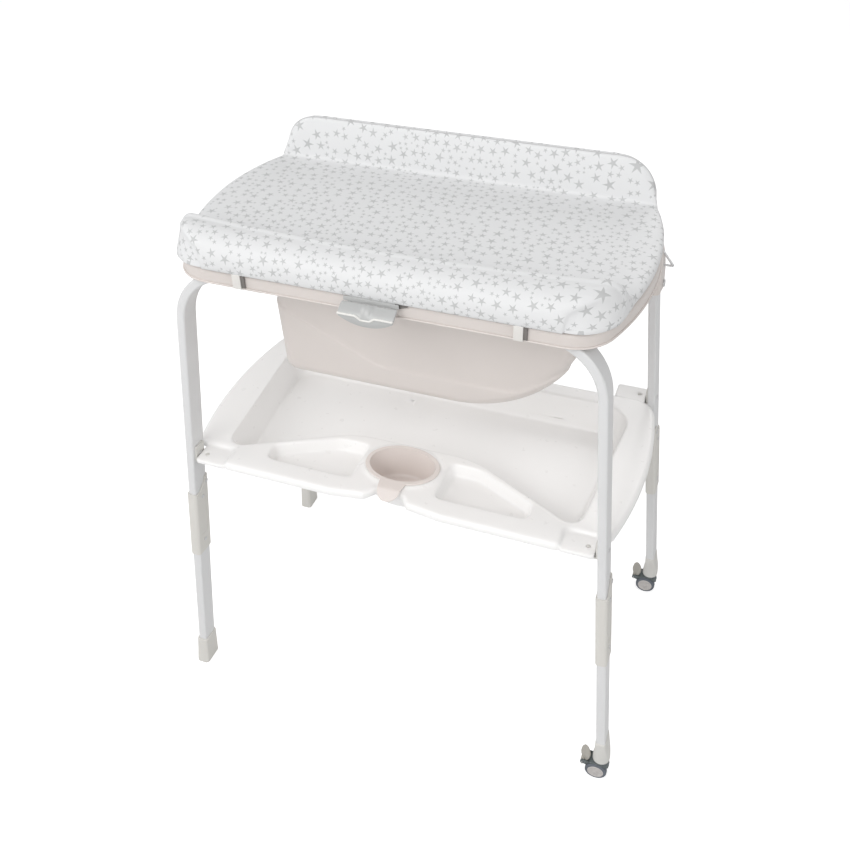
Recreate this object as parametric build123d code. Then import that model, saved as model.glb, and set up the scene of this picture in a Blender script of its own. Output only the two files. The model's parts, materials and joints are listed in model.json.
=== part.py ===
from build123d import *
import math
import os

os.makedirs("parts", exist_ok=True)

# Driving sizes of the tub's rim. X runs along the table, the front is -Y, Z is up.
rim_length = 690.0
rim_width = 392.0
rim_corner = 60.0
rim_end_bulge = 45.0
rim_top = 876.0
skirt_drop = 21.0
rim_wall = 2.6
rim_round = 4.0

# Frame
leg_inset_x = 36.0        # leg centre line at lean_height, in from the rim's ends
leg_inset_y = 27.0
leg_top_x = rim_length / 2 - leg_inset_x
leg_top_y = rim_width / 2 - leg_inset_y
leg_spread_x = 86.0       # how much further out the feet stand
leg_spread_y = 62.0
leg_foot_x = leg_top_x + leg_spread_x
leg_foot_y = leg_top_y + leg_spread_y
lean_rise = 4.0
lean_height = rim_top + lean_rise
upper_tube_width = 14.0   # across the leg, seen from the front
upper_tube_depth = 36.0
upper_tube_corner = 3.2
tube_wall = 1.3
tube_slip = 0.2           # clearance of the lower tube in the upper one
bar_drop = 15.5           # centre of the bar under the rim's top
bar_height = rim_top - bar_drop
bend_radius = 92.0
overrun = 5.0             # how far a cut runs past what it cuts
touch_gap = 0.3           # gap between pieces of different bodies that seat on each other
running_fit = 0.08        # radial clearance of pins and axles that turn

# Leg joints
coupler_bottom = 292.0
coupler_lip = 432.0       # top of the coupler at the front of the leg
coupler_tongue = 455.0    # top of the coupler at the back of the leg
coupler_wall = 2.3
upper_tube_end = 345.0
lower_tube_top = 405.0
coupler_screw_heights = (418.0, 318.0)
tongue_screw_height = 444.0
screw_shank_radius = 2.0
screw_head_radius = 3.6
screw_head_height = 1.4

# Feet and casters
foot_cap_height = 62.0
foot_cap_wall = 3.2
foot_cap_flare = 1.6
foot_sole = 9.0
socket_top = 133.0
socket_bottom = 66.0
socket_wall = 3.4
socket_neck_radius = 14.5
socket_tube_seat = 100.0
wheel_radius = 19.0
wheel_width = 10.5
wheel_tread_round = 3.0
wheel_gap = 9.0           # space between the two wheels, where the web runs
wheel_trail = 5.0
hub_cap_radius = 13.5
hub_cap_dome = 2.6
hub_rib_count = 12
axle_radius = 3.0
stem_radius = 4.5
hood_gap = 1.4            # space between hood and wheels
hood_wall = 2.6
hood_ear_angle = 135.0
pedal_length = 17.0
pedal_width = 27.0
pedal_thickness = 4.5
pedal_tilt = 24.0         # degrees the pedal rises outwards at rest
pedal_pin_radius = 1.6
pedal_knuckle_radius = 4.2
pedal_pin_out = 25.0      # pedal pin from the axle, sideways and up
pedal_pin_up = 14.0

# Tub
basin_left_in = 146.0     # left wall of the basin, in from the rim's end
basin_left = rim_length / 2 - basin_left_in
basin_right_in = 62.0     # right end of the basin, the same
basin_right = rim_length / 2 - basin_right_in
basin_end_radius = 203.0  # the right end sweeps up in one arc
basin_side_in = 62.0
basin_half_width = rim_width / 2 - basin_side_in
basin_draft = 14.0        # how far each long wall draws in down to the bottom
basin_drop = 216.0
basin_bottom = rim_top - basin_drop
basin_corner = 24.0
basin_step = 3.0          # the lower wall stands this much proud of the upper one
step_low = 48.0           # height of the step line over the bottom
step_high = 138.0         # its height at the left wall
step_bend_x = 32.0        # where the step line levels out, left of the middle
step_bend_radius = 60.0
plug_x = 60.0
plug_radius = 17.0
plug_flange = 3.5
plug_height = 7.0
plug_clearance = 0.4

# Tray
tray_top = 520.0
leg_tray_x = leg_foot_x - leg_spread_x * tray_top / lean_height
leg_tray_y = leg_foot_y - leg_spread_y * tray_top / lean_height
tray_skirt = 14.0
tray_side_bulge = 27.8    # how far its sides pass the legs' centre lines
tray_half_length = leg_tray_x + tray_side_bulge
tray_front_flare = 7.8
tray_side_front = leg_tray_x + tray_front_flare
tray_back_flare = 4.8
tray_side_back = leg_tray_x + tray_back_flare
tray_widest_y = -35.0
tray_corner_in = 62.2     # where the front edge turns in to pass the leg
tray_corner_x = leg_tray_x - tray_corner_in
tray_front_out = 19.6
tray_front_y = -leg_tray_y - tray_front_out
tray_leg_gap = 3.0        # space between the tray and the legs' flat faces
tray_back_corner = 44.0
tray_front_corner = 9.0
tray_wall = 2.6
tray_rim_round = 8.0
notch_half_width = 20.0   # gap in the front edge where the cup's tab hangs
notch_flare = 16.0
notch_lobe_x = 92.0       # from here the front edge curves in to the gap
notch_lobe_rise = 8.5
notch_depth = 28.0
notch_y = tray_front_y + notch_depth
notch_round = 9.0
notch_lobe_round = 70.0
bin_depth = 56.0
bin_flank = 16.0          # how far the walls draw in down to the floor
bin_middle_in = 142.0     # its edges, in from the tray's front or from the legs
bin_middle_y = tray_front_y + bin_middle_in
bin_bend_x = 105.0
bin_tip_in = 44.0
bin_tip_x = leg_tray_x - bin_tip_in
bin_tip_rise = 40.0
bin_tip_y = tray_front_y + bin_tip_rise
bin_side_in = 22.0
bin_side_x = leg_tray_x - bin_side_in
bin_back_in = 56.4
bin_back_y = leg_tray_y - bin_back_in
bin_back_corner = 50.0
bin_tip_corner = 22.0
bin_bend_corner = 150.0
recess_depth = 21.0
recess_flank = 6.0
recess_front_in = 38.0
recess_front_y = tray_front_y + recess_front_in
recess_back_in = 122.0
recess_back_y = tray_front_y + recess_back_in
recess_inner_x = 71.0
recess_bend_x = 122.0
recess_outer_x = 222.0
recess_outer_in = 73.0
recess_outer_y = tray_front_y + recess_outer_in
recess_corner = 9.0
recess_tip_corner = 12.0
recess_bend_corner = 60.0
lug_thickness = 8.0
lug_reach = 53.0
lug_length = 48.0
lug_corner = 5.0
hanger_plate = 3.0
hanger_height = 30.0
hanger_width = 24.0
hanger_reach = 24.0
hanger_screw_drop = 5.0
hanger_screw_height = tray_top - hanger_screw_drop
peg_radius = 3.0
peg_clearance = 0.3
peg_height = 8.6

# Cup
cup_in = 88.0
cup_y = tray_front_y + cup_in
cup_half_length = 62.0
cup_half_width = 46.0
cup_collar = 5.0          # raised ring of the tray around the cup
cup_collar_height = 2.4
cup_flange = 5.0
cup_wall = 2.0
cup_depth = 55.0
cup_taper = 8.0
cup_base_round = 8.0
cup_clearance = 0.5
tab_half_width = 22.0
tab_tip_in = 10.5
tab_tip_y = tray_front_y + tab_tip_in
tab_droop = 11.0

# Changing top
board_thickness = 3.6
board_inset = 5.0
hinge_x = 180.0
hinge_width = 36.0
hinge_out = 12.0
hinge_y = rim_width / 2 + hinge_out
hinge_rise = 10.0
hinge_z = rim_top + hinge_rise
hinge_pin_radius = 2.5
hinge_knuckle_radius = 5.5
hinge_leaf = 3.2
hinge_leaf_height = 16.0
hinge_side_gap = 0.4
mat_end_inset = 0.5
mat_half_length = rim_length / 2 - mat_end_inset
mat_overhang = 3.0        # the mat's front bottom edge passes the band by this much
mat_back_inset = 5.5      # its back one stops short of the hinges
mat_swell = 6.0           # how far its front bulges out over that
mat_middle_height = 12.0  # heights over the board, like the next two
mat_wall_height = 78.0
mat_bolster_height = 46.0
mat_crown = 3.0
mat_crease_depth = 4.0
mat_crease_in = 36.0      # places across the mat, in from the band
mat_crease_y = rim_width / 2 - mat_crease_in
mat_wall_in = 19.0
mat_wall_top_y = rim_width / 2 - mat_wall_in
mat_wall_round = 11.0
mat_crest_in = 58.0
mat_crest_y = mat_crest_in - rim_width / 2
mat_crest_half = 15.0
mat_slope_in = 124.0
mat_slope_y = mat_slope_in - rim_width / 2
# Along X from the straight part to the end: place, then heights of wall, bolster and middle.
mat_end_shares = (
    (0.752, 1.0, 1.0, 1.0),
    (0.798, 0.94, 0.99, 1.0),
    (0.842, 0.8, 0.93, 1.0),
    (0.88, 0.6, 0.78, 1.0),
    (0.923, 0.32, 0.52, 1.0),
    (0.958, 0.205, 0.33, 0.95),
    (0.984, 0.165, 0.245, 0.77),
    (1.0, 0.115, 0.175, 0.5),
)
clip_x = 204.0
clip_width = 16.0
clip_wall = 2.4
clip_drop = 24.0
clip_round = 1.0
latch_half_width = 42.0
latch_top_drop = 1.0
latch_top = rim_top - latch_top_drop
latch_rib_drop = 26.0
latch_rib_z = rim_top - latch_rib_drop
latch_lip_drop = 38.0
latch_bottom = rim_top - latch_lip_drop
latch_thickness = 2.6
latch_stand_off = 7.0
latch_face_y = -rim_width / 2 - latch_stand_off
latch_rib_out = 4.0
latch_boss_radius = 8.5
latch_boss_out = 3.0
latch_pin_in = 3.2
latch_pin_y = latch_face_y + latch_pin_in
latch_pin_drop = 4.5
latch_pin_z = rim_top - latch_pin_drop
latch_pin_radius = 1.5
latch_knuckle_radius = 3.2
latch_ear = 5.0
clamp_x = 190.0
clamp_width = 40.0
clamp_wall = 3.0

# Rear fittings and wire rail
pivot_drop = 126.0
pivot_height = rim_top - pivot_drop
pivot_radius = 4.0
rear_tube_end = 15.0
rear_tube_top = pivot_height + rear_tube_end
ear_end = 13.0
ear_bottom = pivot_height - ear_end
ear_wall = 4.4
ear_in_x = 18.0
ear_top_x = leg_top_x - ear_in_x
ear_in_y = 21.0
ear_top_y = leg_top_y - ear_in_y
boss_radius = 10.0
boss_height = 2.6
wire_radius = 2.0
wire_drop = 64.0          # its ends under the rim's top, and its tips under those
wire_fall = 29.0
wire_high_height = rim_top - wire_drop
wire_low_height = wire_high_height - wire_fall
wire_out_y = 9.0
wire_y = leg_top_y + wire_out_y
wire_tip_out = 41.0
wire_tip_x = leg_top_x + wire_tip_out
wire_end_out = 5.0
wire_end_x = leg_top_x + wire_end_out
wire_bend_radius = 6.0


def legPoint(side, end, z):
    share = z / lean_height
    x = leg_foot_x + (leg_top_x - leg_foot_x) * share
    y = leg_foot_y + (leg_top_y - leg_foot_y) * share
    return Vector(side * x, end * y, z)


def legPlane(side, end, z):
    up = (legPoint(side, end, lean_height) - legPoint(side, end, 0)).normalized()
    depth = up.cross(Vector(1, 0, 0)).normalized()
    return Plane(origin=legPoint(side, end, z), x_dir=depth.cross(up), z_dir=up)


def legRise(side, end, z_low, z_high):
    return (legPoint(side, end, z_high) - legPoint(side, end, z_low)).length


def legTube(side, end, z_low, z_high, width, depth, corner):
    section = RectangleRounded(width, depth, corner) - RectangleRounded(
        width - 2 * tube_wall, depth - 2 * tube_wall, corner - tube_wall
    )
    return legPlane(side, end, z_low) * extrude(section, legRise(side, end, z_low, z_high))


lower_tube_width = upper_tube_width - 2 * tube_wall - 2 * tube_slip
lower_tube_depth = upper_tube_depth - 2 * tube_wall - 2 * tube_slip
lower_tube_corner = upper_tube_corner - tube_wall / 2


def frontFrame():
    # The whole upside-down U lies in one plane that leans back like the legs.
    lean = legPoint(1, -1, lean_height) - legPoint(1, -1, 0)
    rise = Vector(0, lean.Y, lean.Z).normalized()
    across = Vector(1, 0, 0)
    plane = Plane(origin=(0, -leg_foot_y, 0), x_dir=across, z_dir=across.cross(rise))
    points = []
    for side, z in ((-1, upper_tube_end), (-1, bar_height), (1, bar_height), (1, upper_tube_end)):
        spot = legPoint(side, -1, z)
        points.append((spot.X, (spot - Vector(0, -leg_foot_y, 0)).dot(rise)))
    path = FilletPolyline(*points, radius=bend_radius)
    start = Plane(origin=path @ 0, z_dir=path % 0, x_dir=Vector(0, 0, 1).cross(path % 0))
    outer = sweep(start * RectangleRounded(upper_tube_width, upper_tube_depth, upper_tube_corner), path)
    inner = sweep(
        start * RectangleRounded(
            upper_tube_width - 2 * tube_wall,
            upper_tube_depth - 2 * tube_wall,
            upper_tube_corner - tube_wall,
        ),
        path,
    )
    return plane * (outer - inner)


def coupler(side, end):
    inner_width = upper_tube_width + 2 * tube_slip
    inner_depth = upper_tube_depth + 2 * tube_slip
    width = inner_width + 2 * coupler_wall
    depth = inner_depth + 2 * coupler_wall
    length = legRise(side, end, coupler_bottom, coupler_tongue)
    lip = legRise(side, end, coupler_bottom, coupler_lip)
    seat = legRise(side, end, coupler_bottom, upper_tube_end)
    body = extrude(RectangleRounded(width, depth, upper_tube_corner + coupler_wall), length)
    body -= Pos(0, 0, seat - touch_gap) * extrude(
        RectangleRounded(inner_width, inner_depth, upper_tube_corner + tube_slip), length
    )
    body -= Pos(0, 0, -overrun) * extrude(
        RectangleRounded(
            lower_tube_width + 2 * tube_slip, lower_tube_depth + 2 * tube_slip, lower_tube_corner
        ),
        length,
    )
    # The top edge is low at the front and sweeps up to the tongue behind.
    front = -depth / 2 - overrun
    back = depth / 2
    top = length + overrun
    sweep_line = Polyline((front, lip), (-depth / 6, lip), (depth / 5, length - (length - lip) / 3))
    edge = sweep_line + Line((depth / 5, length - (length - lip) / 3), (back / 2, top))
    cutter = make_face(edge + Polyline((back / 2, top), (front, top), (front, lip)))
    cut = Plane.YZ * extrude(cutter, width, both=True)
    body -= cut
    flat = RectangleRounded(depth / 2, length / 3, upper_tube_corner)
    for face in (-1, 1):
        groove = Plane.YZ.offset(face * width / 2) * Pos(0, length / 2.4) * flat
        body -= extrude(groove, coupler_wall / 4, both=True)
    if end > 0:
        body = Rot(0, 0, 180) * body
    body = legPlane(side, end, coupler_bottom) * body
    return drillForScrews(body, side, end, coupler_screw_heights + (tongue_screw_height,))


def screwAt(plane, along, grip):
    # A cross screw along the plane's X axis, with a head at each side of the grip.
    shank = Cylinder(screw_shank_radius, grip)
    head = Cylinder(screw_head_radius, screw_head_height)
    head = fillet(head.edges().sort_by(Axis.Z)[-1], screw_head_height / 2)
    piece = shank + Pos(0, 0, grip / 2 + screw_head_height / 2) * head
    piece += Rot(180, 0, 0) * Pos(0, 0, grip / 2 + screw_head_height / 2) * head
    return plane * Pos(*along) * Rot(0, 90, 0) * piece


def couplerScrews():
    pieces = []
    grip = upper_tube_width + 2 * tube_slip + 2 * coupler_wall
    for side in (-1, 1):
        for end in (-1, 1):
            for z in coupler_screw_heights:
                pieces.append(screwAt(legPlane(side, end, z), (0, 0, 0), grip))
            behind = -end * (upper_tube_depth / 2 - screw_head_radius - tube_wall)
            pieces.append(screwAt(legPlane(side, end, tongue_screw_height), (0, behind, 0), grip))
    return pieces


def drillForScrews(body, side, end, heights):
    for z in heights:
        hole = Rot(0, 90, 0) * Cylinder(screw_shank_radius + running_fit, upper_tube_depth)
        if z == tongue_screw_height:
            behind = -end * (upper_tube_depth / 2 - screw_head_radius - tube_wall)
            hole = Pos(0, behind, 0) * hole
        body -= legPlane(side, end, z) * hole
    return body


def footCap(side, end):
    width = lower_tube_width + 2 * foot_cap_wall
    depth = lower_tube_depth + 2 * foot_cap_wall
    rise = legRise(side, end, 0, foot_cap_height)
    top = RectangleRounded(width, depth, lower_tube_corner + foot_cap_wall)
    low = RectangleRounded(
        width + 2 * foot_cap_flare, depth + 2 * foot_cap_flare, lower_tube_corner + foot_cap_wall
    )
    body = loft([Pos(0, 0, -foot_sole) * low, Pos(0, 0, rise) * top])
    body = fillet(body.edges().group_by(Axis.Z)[-1], foot_cap_wall / 3)
    seat = legRise(side, end, 0, foot_sole)
    body -= Pos(0, 0, seat) * extrude(
        RectangleRounded(
            lower_tube_width + 2 * tube_slip, lower_tube_depth + 2 * tube_slip, lower_tube_corner
        ),
        rise + overrun,
    )
    body = legPlane(side, end, 0) * body
    ground = Box(4 * width, 4 * depth, 4 * foot_sole, align=(Align.CENTER, Align.CENTER, Align.MAX))
    foot = legPoint(side, end, 0)
    return body - Pos(foot.X, foot.Y, 0) * ground


hood_top = socket_bottom - touch_gap


def swivelPoint(side, end):
    return legPoint(side, end, socket_bottom)


def casterSocket(side, end):
    width = lower_tube_width + 2 * socket_wall
    depth = lower_tube_depth + 2 * socket_wall
    spot = swivelPoint(side, end)
    top = legPlane(side, end, socket_top) * RectangleRounded(width, depth, lower_tube_corner + socket_wall)
    low = Pos(spot.X, spot.Y, socket_bottom) * Circle(socket_neck_radius)
    body = loft([low, top])
    body -= legPlane(side, end, socket_tube_seat) * extrude(
        RectangleRounded(
            lower_tube_width + 2 * tube_slip, lower_tube_depth + 2 * tube_slip, lower_tube_corner
        ),
        legRise(side, end, socket_tube_seat, socket_top) + overrun,
    )
    stem_top = socket_tube_seat - socket_wall
    bore_length = stem_top - socket_bottom + overrun
    body -= Pos(spot.X, spot.Y, stem_top) * Cylinder(
        stem_radius + running_fit, bore_length, align=(Align.CENTER, Align.CENTER, Align.MAX)
    )
    return body


def wheelCentre(side, end):
    spot = swivelPoint(side, end)
    return Vector(spot.X - wheel_trail, spot.Y, wheel_radius)


def casterHood(side, end):
    # An arched cover over both wheels, a web between them, and ears for the pedal pin.
    spot = swivelPoint(side, end)
    centre = wheelCentre(side, end)
    inner = wheel_radius + hood_gap
    half_width = wheel_gap / 2 + wheel_width
    web_half = wheel_gap / 2 - hood_gap / 2
    size = 4 * inner
    body = Plane.XZ * extrude(Circle(inner + hood_wall), half_width, both=True)
    body += Pos(wheel_trail, 0, 0) * Cylinder(
        socket_neck_radius,
        hood_top - centre.Z,
        align=(Align.CENTER, Align.CENTER, Align.MIN),
    )
    body &= Pos(0, 0, axle_radius) * Box(size, size, size, align=(Align.CENTER, Align.CENTER, Align.MIN))
    pin_end = Pos(-pedal_pin_out, pedal_pin_up) * Circle(pedal_knuckle_radius)
    root = Rot(0, 0, hood_ear_angle) * Pos(inner, 0) * Circle(pedal_knuckle_radius)
    arm = Plane.XZ * extrude(make_hull(pin_end.edges() + root.edges()), hood_wall, both=True)
    pocket = Plane.XZ * extrude(Circle(inner), wheel_width + overrun, both=True)
    for face in (-1, 1):
        body += Pos(0, face * (half_width - hood_wall), 0) * arm
    for face in (-1, 1):
        body -= Pos(0, face * (web_half + wheel_width + overrun), 0) * pocket
    body += Plane.XZ * extrude(Circle(inner - hood_wall), web_half, both=True)
    body -= Plane.XZ * extrude(Circle(axle_radius), half_width, both=True)
    body -= Pos(-pedal_pin_out, 0, pedal_pin_up) * Rot(90, 0, 0) * Cylinder(pedal_pin_radius, size)
    body = Pos(*centre) * body
    stem_top = socket_tube_seat - socket_wall - touch_gap
    stem = Cylinder(stem_radius, stem_top - hood_top, align=(Align.CENTER, Align.CENTER, Align.MIN))
    return body + Pos(spot.X, spot.Y, hood_top) * stem


def wheel(side, end, face):
    # Tyre and hub in one, rounded at the tread, with a recess for the cap.
    tyre = Cylinder(wheel_radius, wheel_width)
    tyre = fillet(tyre.edges().filter_by(GeomType.CIRCLE), wheel_tread_round)
    tyre -= Cylinder(axle_radius + running_fit, 2 * wheel_width)
    recess = Pos(0, 0, wheel_width / 2) * Cylinder(hub_cap_radius, wheel_width / 3)
    tyre -= recess
    out = wheel_gap / 2 + wheel_width / 2
    return Pos(*wheelCentre(side, end)) * Pos(0, face * out, 0) * Rot(-face * 90, 0, 0) * tyre


def hubCap(side, end, face):
    seat = wheel_width / 2 - wheel_width / 6
    disc = Pos(0, 0, seat) * Cylinder(
        hub_cap_radius - tube_slip / 2, hub_cap_dome, align=(Align.CENTER, Align.CENTER, Align.MIN)
    )
    disc = fillet(disc.edges().group_by(Axis.Z)[-1], hub_cap_dome / 2)
    rib_length = hub_cap_radius / 2.2
    rib = Pos(hub_cap_radius * 0.58, 0, seat + hub_cap_dome) * Box(
        rib_length, rib_length / 5, hub_cap_dome / 2
    )
    for turn in range(hub_rib_count):
        disc += Rot(0, 0, turn * 360 / hub_rib_count) * rib
    out = wheel_gap / 2 + wheel_width / 2
    return Pos(*wheelCentre(side, end)) * Pos(0, face * out, 0) * Rot(-face * 90, 0, 0) * disc


def axle(side, end):
    length = wheel_gap + 2 * (wheel_width - wheel_width / 6) - 2 * touch_gap
    return Pos(*wheelCentre(side, end)) * Rot(90, 0, 0) * Cylinder(axle_radius, length)


def brakePedal(side, end):
    centre = wheelCentre(side, end)
    half_gap = wheel_gap / 2 + wheel_width - 2 * hood_wall - touch_gap
    plate = RectangleRounded(pedal_length, pedal_width, pedal_length / 3)
    lobe = extrude(plate, pedal_thickness / 2, both=True)
    lobe = fillet(lobe.edges().group_by(Axis.Z)[-1], pedal_thickness / 3)
    lobe = Pos(-pedal_length / 2 - pedal_knuckle_radius - 2 * touch_gap, 0, 0) * lobe
    neck = Pos(-pedal_knuckle_radius, 0, 0) * Box(2 * pedal_knuckle_radius, 2 * half_gap, pedal_thickness)
    body = Rot(0, pedal_tilt, 0) * (lobe + neck)
    body += Rot(90, 0, 0) * Cylinder(pedal_knuckle_radius, 2 * half_gap)
    body -= Rot(90, 0, 0) * Cylinder(pedal_pin_radius + running_fit, 4 * half_gap)
    return Pos(*centre) * Pos(-pedal_pin_out, 0, pedal_pin_up) * body


def pedalPin(side, end):
    length = wheel_gap + 2 * wheel_width
    centre = wheelCentre(side, end)
    spot = Pos(*centre) * Pos(-pedal_pin_out, 0, pedal_pin_up) * Rot(90, 0, 0)
    return spot * Cylinder(pedal_pin_radius, length)


def bulgedOutline(length, width, corner, bulge):
    # A rounded oblong whose two ends bow outwards.
    end_x = length / 2 - bulge
    edge_y = width / 2
    sides = [
        Line((-end_x, -edge_y), (end_x, -edge_y)),
        ThreePointArc((end_x, -edge_y), (length / 2, 0), (end_x, edge_y)),
        Line((end_x, edge_y), (-end_x, edge_y)),
        ThreePointArc((-end_x, edge_y), (-length / 2, 0), (-end_x, -edge_y)),
    ]
    face = make_face(sides)
    return fillet(face.vertices(), corner)


def basinBody(inset, top):
    left = -basin_left + inset
    right = basin_right - inset
    bottom = basin_bottom + inset
    radius = basin_end_radius - inset
    start = right - radius
    profile = make_face(
        [
            Line((left, top), (left, bottom)),
            Line((left, bottom), (start, bottom)),
            RadiusArc((start, bottom), (right, bottom + radius), -radius),
            Line((right, bottom + radius), (right, top)),
            Line((right, top), (left, top)),
        ]
    )
    half = basin_half_width - inset
    body = Plane.XZ * extrude(profile, half, both=True)
    drawn = half - basin_draft * (top - bottom) / (rim_top - basin_bottom)
    section = Polyline((-half, top), (-drawn, bottom), (drawn, bottom), (half, top), close=True)
    body &= Plane.YZ * extrude(make_face(section), rim_length, both=True)
    corner = basin_corner - inset
    edges = body.edges().filter_by(lambda edge: edge.center().Z < top - overrun / 2)
    return fillet(edges, corner)


def stepRegion():
    # Everything under the step line of the basin wall, seen from the front.
    low = basin_bottom + step_low
    far = rim_length / 2
    line = FilletPolyline(
        (-far, basin_bottom + step_high + (far - basin_left) / 2),
        (-step_bend_x, low),
        (basin_right - basin_end_radius / 2, low),
        (far, basin_bottom + basin_end_radius * 0.8),
        radius=step_bend_radius,
    )
    under = Polyline(line @ 1, (far, basin_bottom - overrun), (-far, basin_bottom - overrun), line @ 0)
    return Plane.XZ * extrude(make_face(line.edges() + under.edges()), rim_width, both=True)


def rearEar(side):
    # Moulded ear that carries the top of a rear leg, from the rim's corner down.
    width = upper_tube_width + 2 * tube_slip + 2 * ear_wall
    depth = upper_tube_depth + 2 * tube_slip + 2 * ear_wall
    low = legPoint(side, 1, ear_bottom)
    middle = legPoint(side, 1, wire_high_height)
    corner = upper_tube_corner + ear_wall
    section = RectangleRounded(width, depth, corner)
    body = loft(
        [
            Pos(low.X, low.Y, ear_bottom) * section,
            Pos(middle.X, middle.Y, wire_high_height) * section,
            Pos(side * ear_top_x, ear_top_y, rim_top - rim_wall) * section,
        ]
    )
    boss = legPlane(side, 1, pivot_height) * Pos(side * width / 2, 0, 0) * Rot(0, 90, 0) * Cylinder(
        boss_radius, 2 * boss_height
    )
    return body + boss


def earPocket(side):
    width = upper_tube_width + 2 * tube_slip
    depth = upper_tube_depth + 2 * tube_slip
    start = ear_bottom - 3 * overrun
    rise = legRise(side, 1, start, rear_tube_top + touch_gap)
    pocket = legPlane(side, 1, start) * extrude(RectangleRounded(width, depth, upper_tube_corner), rise)
    return pocket


def wirePath():
    points = [
        (-wire_end_x, wire_y, wire_high_height),
        (-wire_tip_x, wire_y, wire_low_height),
        (wire_tip_x, wire_y, wire_low_height),
        (wire_end_x, wire_y, wire_high_height),
    ]
    flat = [(point[0], point[2]) for point in points]
    return FilletPolyline(*flat, radius=wire_bend_radius)


def wireBody(radius):
    path = wirePath()
    start = Plane(origin=path @ 0, z_dir=path % 0)
    return Plane.XZ.offset(-wire_y) * sweep(start * Circle(radius), path)


def tub():
    outline = bulgedOutline(rim_length, rim_width, rim_corner, rim_end_bulge)
    rim = Pos(0, 0, rim_top - skirt_drop) * extrude(outline, skirt_drop)
    rim = fillet(rim.edges().group_by(Axis.Z)[-1], rim_round)
    hollow = bulgedOutline(
        rim_length - 2 * rim_wall, rim_width - 2 * rim_wall, rim_corner - rim_wall, rim_end_bulge
    )
    rim -= Pos(0, 0, rim_top - skirt_drop - overrun) * extrude(hollow, skirt_drop + overrun - rim_wall)
    outer = basinBody(basin_step, rim_top - rim_wall / 2)
    outer += basinBody(0, rim_top - rim_wall / 2) & stepRegion()
    body = rim + outer
    for side in (-1, 1):
        body += rearEar(side)
    body -= basinBody(basin_step + rim_wall, rim_top + overrun)
    for side in (-1, 1):
        body -= earPocket(side)
        pin = legPlane(side, 1, pivot_height) * Rot(0, 90, 0) * Cylinder(
            pivot_radius, 4 * upper_tube_width + 2 * boss_height
        )
        body -= pin
    body -= wireBody(wire_radius + tube_slip)
    body -= Pos(plug_x, 0, basin_bottom) * Cylinder(plug_radius, 4 * (rim_wall + basin_step))
    return body


def drainPlug():
    floor = basin_bottom + basin_step + rim_wall
    body = Pos(plug_x, 0, basin_bottom) * Cylinder(
        plug_radius - plug_clearance, floor - basin_bottom, align=(Align.CENTER, Align.CENTER, Align.MIN)
    )
    flange = Pos(plug_x, 0, floor + touch_gap) * Cylinder(
        plug_radius + plug_flange, plug_height / 3, align=(Align.CENTER, Align.CENTER, Align.MIN)
    )
    body += Pos(plug_x, 0, floor) * Cylinder(
        plug_radius - plug_clearance, touch_gap, align=(Align.CENTER, Align.CENTER, Align.MIN)
    )
    grip = Pos(plug_x, 0, floor + touch_gap) * Cylinder(
        plug_radius / 3, plug_height, align=(Align.CENTER, Align.CENTER, Align.MIN)
    )
    knob = fillet((flange + grip).edges().group_by(Axis.Z)[-1], plug_radius / 9)
    return body + knob


def pivotPin(side):
    width = upper_tube_width + 2 * tube_slip + 2 * ear_wall + 2 * boss_height
    pin = Cylinder(pivot_radius, width)
    head = Pos(0, 0, width / 2) * Cylinder(
        pivot_radius * 1.6, pivot_radius / 2, align=(Align.CENTER, Align.CENTER, Align.MIN)
    )
    head = fillet(head.edges().group_by(Axis.Z)[-1], pivot_radius / 5)
    return legPlane(side, 1, pivot_height) * Rot(0, side * 90, 0) * (pin + head)


def upperRearLeg(side):
    leg = legTube(
        side, 1, upper_tube_end, rear_tube_top, upper_tube_width, upper_tube_depth, upper_tube_corner
    )
    leg = drillForScrews(leg, side, 1, (coupler_screw_heights[0], tongue_screw_height))
    leg = drillForScrews(leg, side, 1, (hanger_screw_height,))
    hole = Rot(0, 90, 0) * Cylinder(pivot_radius + running_fit, 2 * upper_tube_width)
    return leg - legPlane(side, 1, pivot_height) * hole


def drilledFrontFrame():
    body = frontFrame()
    heights = (coupler_screw_heights[0], tongue_screw_height, hanger_screw_height)
    for side in (-1, 1):
        body = drillForScrews(body, side, -1, heights)
    return body


def lowerLeg(side, end):
    foot = foot_sole if side < 0 else socket_tube_seat
    leg = legTube(
        side,
        end,
        foot + touch_gap,
        lower_tube_top,
        lower_tube_width,
        lower_tube_depth,
        lower_tube_corner,
    )
    return drillForScrews(leg, side, end, coupler_screw_heights[1:])


def barPlane():
    lean = legPoint(1, -1, lean_height) - legPoint(1, -1, 0)
    rise = Vector(0, lean.Y, lean.Z).normalized()
    spot = legPoint(1, -1, bar_height)
    return Plane(origin=(0, spot.Y, spot.Z), x_dir=(1, 0, 0), z_dir=rise)


def barClamp(x):
    # Saddle moulding that holds the bar up against the underside of the rim.
    half = upper_tube_depth / 2 + clamp_wall
    low = bar_height - upper_tube_width / 2 - clamp_wall
    high = rim_top - rim_wall - touch_gap
    spot = legPoint(1, -1, bar_height)
    body = Pos(x, spot.Y, low) * Box(
        clamp_width, 2 * half, high - low, align=(Align.CENTER, Align.CENTER, Align.MIN)
    )
    body = fillet(body.edges().filter_by(Axis.Z), clamp_wall)
    tunnel = Box(
        2 * clamp_width, upper_tube_depth + 2 * tube_slip, upper_tube_width + 2 * tube_slip
    )
    tunnel = fillet(tunnel.edges().filter_by(Axis.X), upper_tube_corner)
    return body - barPlane() * Pos(x, 0, 0) * tunnel


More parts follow.
